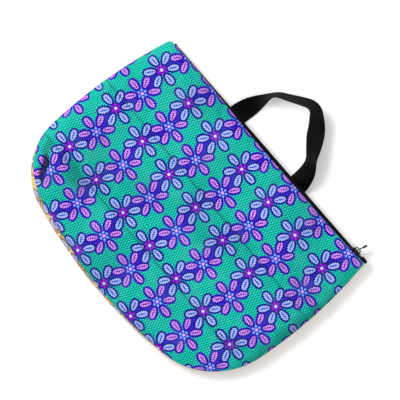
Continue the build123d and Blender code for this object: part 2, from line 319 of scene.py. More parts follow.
class Paint:
    """A material being mixed."""

    def __init__(self, name: str) -> None:
        """Start an empty material of that name."""
        self.material = bpy.data.materials.new(name)
        self.material.use_nodes = True
        self.nodes = self.material.node_tree.nodes
        self.nodes.clear()

    def node(self, kind: str, settings: dict[str, Any], inputs: dict[Any, Any]) -> Any:
        """Add one node.

        Args:
            kind: the node's type.
            settings: its attributes, set first.
            inputs: numbers or links by socket name or index.
        Returns:
            The node.
        """
        made = self.nodes.new(kind)
        for key, value in settings.items():
            setattr(made, key, value)
        for key, value in inputs.items():
            socket = made.inputs[key]
            if isinstance(value, Value):
                self.material.node_tree.links.new(value.socket, socket)
            elif isinstance(value, bpy.types.NodeSocket):
                self.material.node_tree.links.new(value, socket)
            else:
                socket.default_value = value
        return made

    def mix(self, share: Number, first: Any, second: Any) -> Any:
        """Mix two colours.

        Args:
            share: 0 gives the first, 1 the second.
            first, second: colour sockets, screen colours of three numbers or light of four.
        Returns:
            The colour socket.
        """
        settings = {"data_type": "RGBA", "blend_type": "MIX", "clamp_factor": True}
        inputs = {0: share}
        for socket, tone in ((6, first), (7, second)):
            screen = isinstance(tone, tuple) and len(tone) == 3
            inputs[socket] = colour(*tone) if screen else tone
        return self.node("ShaderNodeMix", settings, inputs).outputs[2]

    def split(self, place: Any) -> tuple[Value, Value, Value]:
        """The three numbers of a place."""
        parts = self.node("ShaderNodeSeparateXYZ", {}, {0: place})
        return tuple(Value(self, s) for s in parts.outputs)

    def place(self, name: str) -> tuple[Value, Value, Value]:
        """Read a stored coordinate of the mesh, in millimetres, as three numbers."""
        stored = self.node("ShaderNodeAttribute", {"attribute_name": name}, {})
        return self.split(stored.outputs["Vector"])

    def object_place(self) -> tuple[Value, Value, Value]:
        """The place in the mesh's own space, in millimetres, as three numbers."""
        here = self.node("ShaderNodeTexCoord", {}, {}).outputs["Object"]
        larger = {0: here, "Scale": 1 / MM}
        scaled = self.node("ShaderNodeVectorMath", {"operation": "SCALE"}, larger)
        return self.split(scaled.outputs[0])

    def noise(self, x: Number, y: Number, z: Number, size: float, detail: float = 2.0) -> Value:
        """Cloudy variation from 0 to 1.

        Args:
            x, y, z: the place in millimetres.
            size: the size of its clouds in millimetres.
            detail: how much finer grain it has.
        Returns:
            The value, with a mean of about a half.
        """
        at = self.node("ShaderNodeCombineXYZ", {}, {0: x, 1: y, 2: z}).outputs[0]
        inputs = {"Vector": at, "Scale": 1 / size, "Detail": detail}
        return Value(self, self.node("ShaderNodeTexNoise", {}, inputs).outputs[0])

    def bump(self, height: Value, depth: float, strength: float) -> Any:
        """Turn a height of 0 to 1 into a surface normal.

        Args:
            height: the relief.
            depth: what 1 stands for, in millimetres.
            strength: how much of it shows.
        Returns:
            The normal socket.
        """
        inputs = {"Height": height, "Distance": depth * MM, "Strength": strength}
        return self.node("ShaderNodeBump", {}, inputs).outputs[0]

    def finish(self, inputs: dict[str, Any]) -> bpy.types.Material:
        """Give the material its surface shader.

        Args:
            inputs: the shader's numbers and links by socket name.
        Returns:
            The material.
        """
        shader = self.node("ShaderNodeBsdfPrincipled", {}, inputs)
        self.node("ShaderNodeOutputMaterial", {}, {"Surface": shader.outputs[0]})
        return self.material


def colour(red: float, green: float, blue: float) -> tuple[float, float, float, float]:
    """A screen colour of 0 to 255 as the light it stands for, by the sRGB curve."""

    def light(c: float) -> float:
        """One channel."""
        c /= 255.0
        return c / 12.92 if c <= 0.04045 else ((c + 0.055) / 1.055) ** 2.4

    return light(red), light(green), light(blue), 1.0


# ---------------------------------------------------------------- finishes


@dataclass(frozen=True)
class PetalColours:
    """Colours of one kind of flower, and the sizes of its petals."""

    petal: Rgb
    petal_shade: Rgb
    vein: Rgb
    edge: Rgb
    ring: Rgb
    bead: Rgb
    heart: Rgb
    halo: Rgb
    scallop: float = 0.4
    vein_half: float = 0.3
    half: float = 3.6
    solid: float = 0.2


@dataclass(frozen=True)
class PrintedCotton:
    """Woven cotton printed with columns of six-petalled flowers on a netted ground.

    The repeat is a plain one: two kinds of flower take turns up each column. Painted shade darkens
    it in random cloudy patches, down the quilting rows and, on the front, over the soft corner and
    the right side's turn.
    """

    name: str
    ground_light: Rgb
    ground_dark: Rgb
    patch: Rgb
    first: PetalColours
    second: PetalColours
    origin: Pair = (-0.9, 21.5)
    across: Pair = (48.44, -1.75)
    along: Pair = (1.55, 68.35)
    second_shift: Pair = (7.4, 34.2)
    petal_start: float = 6.2
    petal_end: float = 20.4
    edge_width: float = 2.45
    bead_pitch: float = 2.7
    faded: Rgb = (150, 225, 230)
    thread_shade: Rgb = (0, 20, 40)
    # Colours of painted shade: the random cloudy patches, and the folds and quilting rows.
    painted_cloud_shade: Rgb = (0, 40, 44)
    painted_fold_shade: Rgb = (14, 2, 34)
    oval_pitch: float = 3.06
    oval_row: float = 3.47
    thread_pitch: float = 0.62
    petal_tip: float = 0.5
    rim_tip: float = 0.6
    rim_half: float = 3.15
    bead_ring: float = 4.15
    bead_size: float = 1.7
    core_size: float = 6.3
    patch_reach: float = 21.0
    # Whether the soft corner and the right side's turn get painted shade; the quilting rows always
    # do.
    shade_over_folds: bool = True
    # How much the random cloudy patches of painted shade darken the cloth.
    uneven: float = 0.22

    def cell(self, x: Value, y: Value, shift: Pair) -> tuple[Value, Value]:
        """Place relative to the nearest flower of one kind.

        Args:
            x, y: cloth coordinates.
            shift: where that kind stands in the repeat.
        Returns:
            Offsets from the flower's centre.
        """
        (ax, ay), (bx, by) = self.across, self.along
        area = ax * by - ay * bx
        dx, dy = x - (self.origin[0] + shift[0]), y - (self.origin[1] + shift[1])
        u = (dx * (by / area) - dy * (bx / area)).wrap(-0.5, 0.5)
        v = (dy * (ax / area) - dx * (ay / area)).wrap(-0.5, 0.5)
        return u * ax + v * bx, u * ay + v * by

    def profile(self, s: Value, start: float, end: float) -> Value:
        """Width of a petal along its length, 1 at its widest."""
        t = ((s - start) / (end - start)).most(0.0).least(1.0)
        return (t ** 0.62) * ((1.0 - t) ** 0.42) * (1 / 0.4957)

    def netting(self, x: Value, y: Value) -> Value:
        """Staggered ovals of the ground: 1 inside an oval, 0 on the net between them."""
        wave = x.cosine(self.oval_pitch) * y.cosine(2 * self.oval_row)
        return wave.step(-0.35, 0.7)

    def flower(self, p: Paint, tone: Any, qx: Value, qy: Value, kind: PetalColours) -> Any:
        """Print one kind of flower over what is there.

        Args:
            p: the material being mixed.
            tone: the colour underneath.
            qx, qy: offsets from the flower's centre.
            kind: its colours.
        Returns:
            The colour socket.
        """
        r = (qx * qx + qy * qy).math("SQRT")
        turn = qy.math("ARCTAN2", qx)
        sixth = math.pi / 3
        fold = turn.wrap(-sixth / 2, sixth / 2)
        s, t = r * fold.math("COSINE"), abs(r * fold.math("SINE"))
        scallop = s.cosine(self.bead_pitch) * kind.scallop
        width = self.profile(s, self.petal_start, self.petal_end) * (kind.half + self.petal_tip)
        inside = width + scallop - t - self.petal_tip
        rim_width = self.rim_half + self.edge_width + self.rim_tip
        rim = self.profile(s, self.petal_start - 3.0, self.petal_end + 2.0) * rim_width
        rim = rim - t - self.rim_tip
        barb = (s - t * 0.8).cosine(self.bead_pitch) * 0.5 + 0.5
        vein = t.step(kind.vein_half + 0.35, kind.vein_half) * s.step(7.0, 8.5) * s.step(18.0, 15.5)
        bead_turn = turn.wrap(0.0, sixth) - sixth / 2
        bead_x, bead_y = r * bead_turn.math("COSINE") - self.bead_ring, r * bead_turn.math("SINE")
        bead = (bead_x * bead_x + bead_y * bead_y).math("SQRT").step(self.bead_size, 0.9)
        beads = barb.step(0.1, 0.7) * (1.0 - kind.solid) + kind.solid
        beads = beads * (inside.step(2.8, 0.8) * 0.82 + 0.18)
        petal = p.mix(beads, kind.petal_shade, kind.petal)
        petal = p.mix(vein * (0.7 + barb * 0.3), petal, kind.vein)
        core = p.mix(bead, kind.ring, kind.bead)
        core = p.mix(r.step(2.3, 1.2), core, kind.heart)
        tone = p.mix(rim.step(-0.6, 0.1), tone, kind.halo)
        tone = p.mix(rim.step(0.0, 0.7), tone, kind.edge)
        tone = p.mix(inside.step(-0.35, 0.4), tone, petal)
        return p.mix(r.step(self.core_size, 5.4), tone, core)

    def build(self) -> bpy.types.Material:
        """Mix the material.

        Returns:
            The material, driven by the `cloth` coordinates of the mesh.
        """
        p = Paint(self.name)
        x, y, _ = p.place("cloth")
        smear = p.noise(x, y, 0.0, 5.0, 1.0) - 0.5
        x, y = x + smear * 0.5, y - smear * 0.5
        ax, ay = self.cell(x, y, (0.0, 0.0))
        bx, by = self.cell(x, y, self.second_shift)
        oval = self.netting(x, y)
        tone = p.mix(oval, self.ground_dark, self.ground_light)
        patch = self.wedge(ax, ay).most(self.wedge(bx, by))
        tone = p.mix(patch * (0.92 + oval * 0.08), tone, self.patch)
        tone = self.flower(p, tone, bx, by, self.second)
        tone = self.flower(p, tone, ax, ay, self.first)

        # Painted shade in cloudy patches at random, standing in for light falling unevenly over the
        # gently rolling cloth.
        cloudy = p.noise(x, y, 5.0, 80.0, 1.0).step(0.56, 0.3) * self.uneven
        tone = p.mix(cloudy, tone, self.painted_cloud_shade)
        # Painted shade down the quilting rows and over the folds.
        tone = p.mix(self.folds(x, y), tone, self.painted_fold_shade)
        weave = x.sine(self.thread_pitch) * y.sine(self.thread_pitch) * 0.5 + 0.5
        slub = p.noise(x * 0.22, y, 9.0, 0.9, 2.0)
        wear = p.noise(x, y, 3.0, 26.0, 3.0)
        faded = p.mix((wear - 0.45) * 0.16, tone, self.faded)
        worn = p.mix((0.58 - weave * 0.3 - slub * 0.28) * 0.4, faded, self.thread_shade)
        return p.finish(
            {
                "Base Color": worn,
                "Roughness": 0.74 + slub * 0.2,
                "Normal": p.bump(weave * 0.6 + slub * 0.4, 0.09, 0.55),
                "Specular IOR Level": 0.08,
            }
        )

    def folds(self, x: Value, y: Value) -> Value:
        """Painted shade: how dark the cloth is painted down in its quilting rows, over the soft
        corner and along the right side's turn.
        """
        dark: Value = x * 0.0
        # Painted shade down the quilting rows.
        for row in ROWS:
            gap = abs(y - row.left[1] - row.rise(x))
            dark = dark.most(gap.step(1.2, 0.2) * 0.45)
        # Painted shade over the soft corner's folds and the right side's turn.
        for fold in FOLD_SHADES if self.shade_over_folds else ():
            along, across = fold.local(x, y)
            across = across + (along * 0.25).math("SINE") * 0.2 * fold.half_width
            spot = across * across * fold.half_width**-2 + along * along * fold.half_length**-2
            dark = dark.most(spot.step(1.0, 0.4 * fold.dark - 0.2) * fold.dark)
        return dark

    def wedge(self, qx: Value, qy: Value) -> Value:
        """Plain patch above and below a flower, between its petals."""
        near = (qx * qx + qy * qy).step(self.patch_reach**2, 18.5**2)
        return (abs(qy) * 0.6 + 1.6 - abs(qx)).step(-0.5, 0.5) * near


@dataclass(frozen=True)
class WovenRibbon:
    """Black woven ribbon: the handle webbing, zip tape and seam binding.

    It reads `weave` coordinates: across the ribbon, then along it.
    """

    name: str
    base: Rgb
    rib: float
    rib_depth: float
    chevron: float
    half_width: float
    sheen: float
    sheen_tint: Rgb = (150, 150, 200)

    def build(self) -> bpy.types.Material:
        """Mix the material.

        Returns:
            The material.
        """
        p = Paint(self.name)
        across, along, _ = p.place("weave")
        slant = abs(across.wrap(-self.chevron / 2, self.chevron / 2)) * 0.9
        rib = (along + slant).sine(self.rib) * 0.5 + 0.5
        cord = across.sine(self.rib * 1.6) * 0.5 + 0.5
        fluff = p.noise(across, along * 0.4, 0.0, 0.8, 3.0)
        edge = abs(across).step(self.half_width - 1.6, self.half_width)
        height = rib * 0.6 + cord * 0.3 + fluff * 0.25
        light = tuple(min(255, c * 1.9 + 7) for c in self.base)
        tone = p.mix(height * 0.55 + edge * 0.25 - 0.2, self.base, light)
        return p.finish(
            {
                "Base Color": tone,
                "Roughness": 0.5 + fluff * 0.22 - rib * 0.1,
                "Normal": p.bump(height, self.rib_depth, 0.8),
                "Specular IOR Level": 0.06,
                "Sheen Weight": self.sheen,
                "Sheen Roughness": 0.35,
                "Sheen Tint": colour(*self.sheen_tint),
            }
        )


@dataclass(frozen=True)
class SoftFibre:
    """Matt fibrous stuff: wadding, lining cloth and sewing thread."""

    name: str
    base: Rgb
    grain: float
    depth: float
    twist: float = 0.0
    gloss: float = 0.2

    def build(self) -> bpy.types.Material:
        """Mix the material.

        Returns:
            The material.
        """
        p = Paint(self.name)
        x, y, z = p.object_place()
        fuzz = p.noise(x, y, z, self.grain, 4.0)
        cloud = p.noise(x, y, z, self.grain * 14, 2.0)
        height = fuzz
        if self.twist:
            height = fuzz * 0.3 + (x + y * 0.6 + z).sine(self.twist) * 0.35 + 0.35
        base = colour(*self.base)
        lit = tuple(min(1.0, c * 1.5 + 0.004) for c in base[:3]) + (1.0,)
        dim = tuple(c * 0.6 for c in base[:3]) + (1.0,)
        tone = p.mix(height * 0.7 + cloud * 0.3, dim, lit)
        return p.finish(
            {
                "Base Color": tone,
                "Roughness": 0.7 + fuzz * 0.25,
                "Normal": p.bump(height, self.depth, 0.7),
                "Specular IOR Level": self.gloss,
                "Sheen Weight": 0.15,
            }
        )


@dataclass(frozen=True)
class MouldedBlack:
    """Hard black surface: nylon coil, enamelled metal or moulded grip."""

    name: str
    base: Rgb
    roughness: float
    metallic: float
    grain: float
    depth: float
    rubbed: Rgb
    coat: float = 0.0

    def build(self) -> bpy.types.Material:
        """Mix the material, with a lighter rub along its edges.

        Returns:
            The material.
        """
        p = Paint(self.name)
        x, y, z = p.object_place()
        pits = p.noise(x, y, z, self.grain, 4.0)
        cloud = p.noise(x, y, z, 3.5, 3.0)
        pointed = p.node("ShaderNodeNewGeometry", {}, {}).outputs["Pointiness"]
        edge = Value(p, pointed).step(0.505, 0.56) * cloud.step(0.35, 0.7)
        tone = p.mix(cloud * 0.5, self.base, tuple(c * 1.6 + 2 for c in self.base))
        tone = p.mix(edge * 0.6, tone, self.rubbed)
        return p.finish(
            {
                "Base Color": tone,
                "Metallic": self.metallic,
                "Roughness": (cloud - 0.5) * 0.25 + (pits - 0.5) * 0.12 + self.roughness,
                "Normal": p.bump(pits, self.depth, 0.5),
                "Coat Weight": self.coat,
                "Coat Roughness": 0.18,
                "Specular IOR Level": 0.15,
            }
        )


class Finish(Enum):
    """Every finish of the sleeve, by the record's slot."""

    PRINT_FRONT = "print_front"
    PRINT_BACK = "print_back"
    WADDING = "wadding"
    LINING = "lining"
    BINDING = "binding"
    WEBBING = "webbing"
    ZIP_TAPE = "zip_tape"
    END_TAB = "end_tab"
    ZIP_COIL = "zip_coil"
    BLACK_METAL = "black_metal"
    PULL_GRIP = "pull_grip"
    THREAD_FRONT = "thread_front"
    THREAD_BACK = "thread_back"
    THREAD_BLACK = "thread_black"


class Wardrobe:
    """Makes each finish once and keeps it."""

    def __init__(self) -> None:
        """List the recipe of every finish."""
        blue = PetalColours(
            petal=(188, 206, 255),
            petal_shade=(88, 106, 216),
            vein=(24, 26, 124),
            edge=(18, 8, 112),
            ring=(84, 4, 150),
            bead=(150, 26, 214),
            heart=(212, 202, 255),
            halo=(26, 40, 190),
            scallop=0.5,
            half=3.25,
            solid=0.35,
        )
        pink = PetalColours(
            petal=(242, 180, 255),
            petal_shade=(120, 14, 188),
            vein=(84, 0, 128),
            edge=(36, 6, 150),
            ring=(36, 26, 178),
            bead=(130, 176, 250),
            heart=(224, 160, 250),
            halo=(60, 22, 206),
            scallop=0.55,
            vein_half=0.4,
            half=2.75,
            solid=0.14,
        )
        lilac = PetalColours(
            petal=(206, 196, 222),
            petal_shade=(176, 162, 200),
            vein=(120, 100, 130),
            edge=(140, 112, 92),
            ring=(150, 100, 70),
            bead=(220, 170, 90),
            heart=(244, 230, 190),
            halo=(206, 178, 110),
        )
        rust = PetalColours(
            petal=(236, 196, 160),
            petal_shade=(214, 160, 116),
            vein=(150, 90, 60),
            edge=(150, 108, 76),
            ring=(130, 100, 120),
            bead=(190, 176, 214),
            heart=(240, 214, 176),
            halo=(206, 178, 110),
        )
        black = (12, 11, 16)
        recipes = (
            PrintedCotton("print_front", (26, 218, 196), (6, 130, 112), (44, 4, 182), blue, pink),
            PrintedCotton(
                "print_back",
                (244, 230, 168),
                (190, 164, 92),
                (218, 188, 112),
                lilac,
                rust,
                origin=(18.0, 4.0),
                # The back's print takes painted shade only down its quilting rows.
                shade_over_folds=False,
            ),
            SoftFibre("wadding", (226, 222, 212), 0.9, 0.5),
            SoftFibre("lining", (18, 18, 22), 0.5, 0.08),
            WovenRibbon("binding", black, 1.3, 0.12, 5.0, 5.0, 0.1),
            WovenRibbon("webbing", (2, 2, 4), 1.5, 0.22, 6.2, 12.5, 0.03, (140, 130, 235)),
            WovenRibbon("zip_tape", (4, 4, 7), 1.1, 0.12, 3.4, 6.5, 0.03),
            WovenRibbon("end_tab", (4, 4, 7), 1.1, 0.14, 3.4, 6.5, 0.03),
            MouldedBlack("zip_coil", (7, 7, 9), 0.5, 0.0, 0.25, 0.02, (24, 24, 28)),
            MouldedBlack("black_metal", (6, 6, 8), 0.42, 0.1, 0.3, 0.015, (44, 43, 42), 0.08),
            MouldedBlack("pull_grip", (6, 6, 8), 0.55, 0.0, 0.35, 0.04, (26, 26, 30)),
            SoftFibre("thread_front", (10, 84, 74), 0.3, 0.1, 0.7, 0.35),
            SoftFibre("thread_back", (176, 156, 104), 0.3, 0.1, 0.7, 0.35),
            SoftFibre("thread_black", (14, 14, 17), 0.3, 0.1, 0.7, 0.35),
        )
        self.recipes = {Finish(r.name): r for r in recipes}
        self.made: dict[Finish, bpy.types.Material] = {}

    def get(self, finish: Finish) -> bpy.types.Material:
        """The material of a finish, mixed when it is first asked for."""
        if finish not in self.made:
            self.made[finish] = self.recipes[finish].build()
        return self.made[finish]


# ---------------------------------------------------------------- meshes


@dataclass
class Shape:
    """A mesh in the making, in millimetres."""

    points: Points
    faces: list[tuple[int, ...]]
    coordinates: dict[str, Points] = field(default_factory=dict)


def sweep(rings: Points, weave: Optional[Points] = None) -> Shape:
    """Skin a row of closed cross-sections and fill both ends.

    Args:
        rings: array of sections, each with the same number of points.
        weave: coordinates across and along for each point, if it is a ribbon.
    Returns:
        The shape.
    """
    count, width = rings.shape[:2]
    faces: list[tuple[int, ...]] = []
    for i in range(count - 1):
        for j in range(width):
            k = (j + 1) % width
            faces.append((i * width + j, i * width + k, (i + 1) * width + k, (i + 1) * width + j))
    faces.append(tuple(range(width - 1, -1, -1)))
    faces.append(tuple((count - 1) * width + j for j in range(width)))
    coordinates = {} if weave is None else {"weave": weave.reshape(-1, 3)}
    return Shape(rings.reshape(-1, 3), faces, coordinates)


def add_object(name: str, data: Any) -> bpy.types.Object:
    """Put a new object in the scene."""
    made = bpy.data.objects.new(name, data)
    bpy.context.scene.collection.objects.link(made)
    return made


class Maker:
    """Turns shapes into dressed pieces that ride on the frame."""

    def __init__(self, wardrobe: Wardrobe) -> None:
        """Keep the wardrobe."""
        self.wardrobe = wardrobe

    def mesh(self, name: str, shape: Shape, finish: Finish) -> bpy.types.Object:
        """Make the mesh object and give it its finish.

        Args:
            name: the piece's name.
            shape: its points, faces and stored coordinates.
            finish: the finish it takes.
        Returns:
            The object.
        """
        data = bpy.data.meshes.new(name)
        data.from_pydata((shape.points * MM).tolist(), [], shape.faces)
        for key, values in shape.coordinates.items():
            stored = data.attributes.new(key, "FLOAT_VECTOR", "POINT")
            stored.data.foreach_set("vector", values.astype(np.float32).ravel())
        data.polygons.foreach_set("use_smooth", [True] * len(data.polygons))
        data.update()
        made = add_object(name, data)
        data.materials.append(self.wardrobe.get(finish))
        return made

    def smoother(self, made: bpy.types.Object) -> None:
        """Subdivide a piece once, for good."""
        modifier = made.modifiers.new("smoother", "SUBSURF")
        modifier.levels = modifier.render_levels = 1
        self.bake(made)

    def bake(self, made: bpy.types.Object) -> None:
        """Apply every modifier of a piece."""
        bpy.context.view_layer.update()
        graph = bpy.context.evaluated_depsgraph_get()
        data = bpy.data.meshes.new_from_object(made.evaluated_get(graph))
        made.modifiers.clear()
        made.data = data

    def rides(self, made: bpy.types.Object, body: str, *nodes: str) -> bpy.types.Object:
        """Make the piece ride on a body and stand for CAD nodes.

        Args:
            made: the piece.
            body: the CAD body.
            nodes: CAD nodes it stands for.
        Returns:
            The piece.
        """
        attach(made, body)
        if nodes:
            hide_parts(*nodes)
        log.info("%s rides on %s, %d faces", made.name, body, len(made.data.polygons))
        return made


def read_vectors(items: Any, key: str) -> Points:
    """The three numbers that every item of a mesh holds under a key."""
    out = np.zeros(len(items) * 3, np.float32)
    items.foreach_get(key, out)
    return out.reshape(-1, 3)


def point_normals(data: bpy.types.Mesh) -> Points:
    """Unit normal of every vertex."""
    return read_vectors(data.vertex_normals, "vector")


def places(data: bpy.types.Mesh) -> Points:
    """Vertex places in millimetres."""
    return read_vectors(data.vertices, "co").astype(float) / MM


def node_box(name: str) -> tuple[Points, Points]:
    """Low and high corner of a CAD node's box, in millimetres."""
    low, high = (np.array(corner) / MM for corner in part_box(name))
    return low, high


# ---------------------------------------------------------------- the panels' plan


@dataclass(frozen=True)
class Bow:
    """An edge of the panels bowed out to a circle."""

    x: float
    y: float
    r: float

    @property
    def centre(self) -> Points:
        """Centre of the circle."""
        return np.array([self.x, self.y])

    def arc(self, start: Points, end: Points, step: float = 0.8) -> Points:
        """Points along the circle, anticlockwise from start to end."""
        a = math.atan2(*(start - self.centre)[::-1])
        b = math.atan2(*(end - self.centre)[::-1])
        b += TAU if b < a else 0.0
        turn = np.linspace(a, b, max(3, int((b - a) * self.r / step)))
        return self.centre + self.r * np.stack([np.cos(turn), np.sin(turn)], 1)

    def corner(self, other: "Bow", r: float, near: Points) -> tuple["Bow", Points, Points]:
        """Round the corner where two bowed edges meet.

        Args:
            other: the other edge.
            r: the corner's radius.
            near: a point by the corner.
        Returns:
            The corner's circle and where it touches each edge.
        """
        gap = other.centre - self.centre
        d = float(np.linalg.norm(gap))
        e = gap / d
        a = ((self.r - r) ** 2 - (other.r - r) ** 2 + d * d) / (2 * d)
        h = math.sqrt((self.r - r) ** 2 - a * a)
        foot, side = self.centre + a * e, np.array([-e[1], e[0]]) * h
        c = min((foot + side, foot - side), key=lambda p: float(np.linalg.norm(p - near)))

        def touch(bow: "Bow") -> Points:
            """Where the corner's circle touches that edge."""
            away = c - bow.centre
            return bow.centre + away / np.linalg.norm(away) * bow.r

        return Bow(c[0], c[1], r), touch(self), touch(other)


@dataclass(frozen=True)
class Plan:
    """Outline of the panels and what is measured along it.

    Each bow is the place of its circle's centre along the side, and its radius.
    """

    left: float
    right: float
    bottom: float
    mouth: float
    corner_left: float = 78.0
    corner_right: float = 95.0
    bow_left: Pair = (-16.0, 600.0)
    bow_right: Pair = (36.0, 552.0)
    bow_low: Pair = (3.0, 600.0)
    fabric_edge: Stops = (
        (-170.0, 1.1), (-110.0, 0.9), (-65.0, -0.2), (-12.0, -2.0), (130.0, -1.8), (165.0, -0.6),
        (178.0, -0.3),
    )
    back_peek: Stops = (
        (-172.0, 0.6), (-158.0, 2.4), (-145.0, 4.8), (-60.0, 4.8), (-40.0, 3.2), (0.0, 2.2),
        (60.0, 1.9), (100.0, 1.0), (125.0, 0.0),
    )

    @property
    def behind_slider(self) -> float:
        """How far inner layers may reach without touching the slider."""
        return self.mouth - 2.1

    def line(self) -> Points:
        """The outline from the mouth's left end round the bottom to its right end."""
        (left_y, left_r), (right_y, right_r) = self.bow_left, self.bow_right
        left = Bow(self.left + left_r, left_y, left_r)
        right = Bow(self.right - right_r, right_y, right_r)
        low = Bow(self.bow_low[0], self.bottom + self.bow_low[1], self.bow_low[1])
        near_left, near_right = np.array([-110.0, -50.0]), np.array([100.0, -40.0])
        turn_l, touch_ll, touch_lb = left.corner(low, self.corner_left, near_left)
        turn_r, touch_rb, touch_rr = low.corner(right, self.corner_right, near_right)
        top = self.mouth + 3.0
        start = np.array([left.x - math.sqrt(left.r**2 - (top - left.y) ** 2), top])
        end = np.array([right.x + math.sqrt(right.r**2 - (top - right.y) ** 2), top])
        runs = [
            left.arc(start, touch_ll),
            turn_l.arc(touch_ll, touch_lb)[1:],
            low.arc(touch_lb, touch_rb)[1:],
            turn_r.arc(touch_rb, touch_rr)[1:],
            right.arc(touch_rr, end)[1:],
        ]
        return np.vstack(runs)

    def edge_y(self, x: Points) -> Points:
        """How far the fabric of the mouth edge reaches."""
        return self.mouth + ramp(x, self.fabric_edge)

    def peek(self, x: Points) -> Points:
        """How far the back panel shows past the front one along the bottom."""
        return ramp(x, self.back_peek)


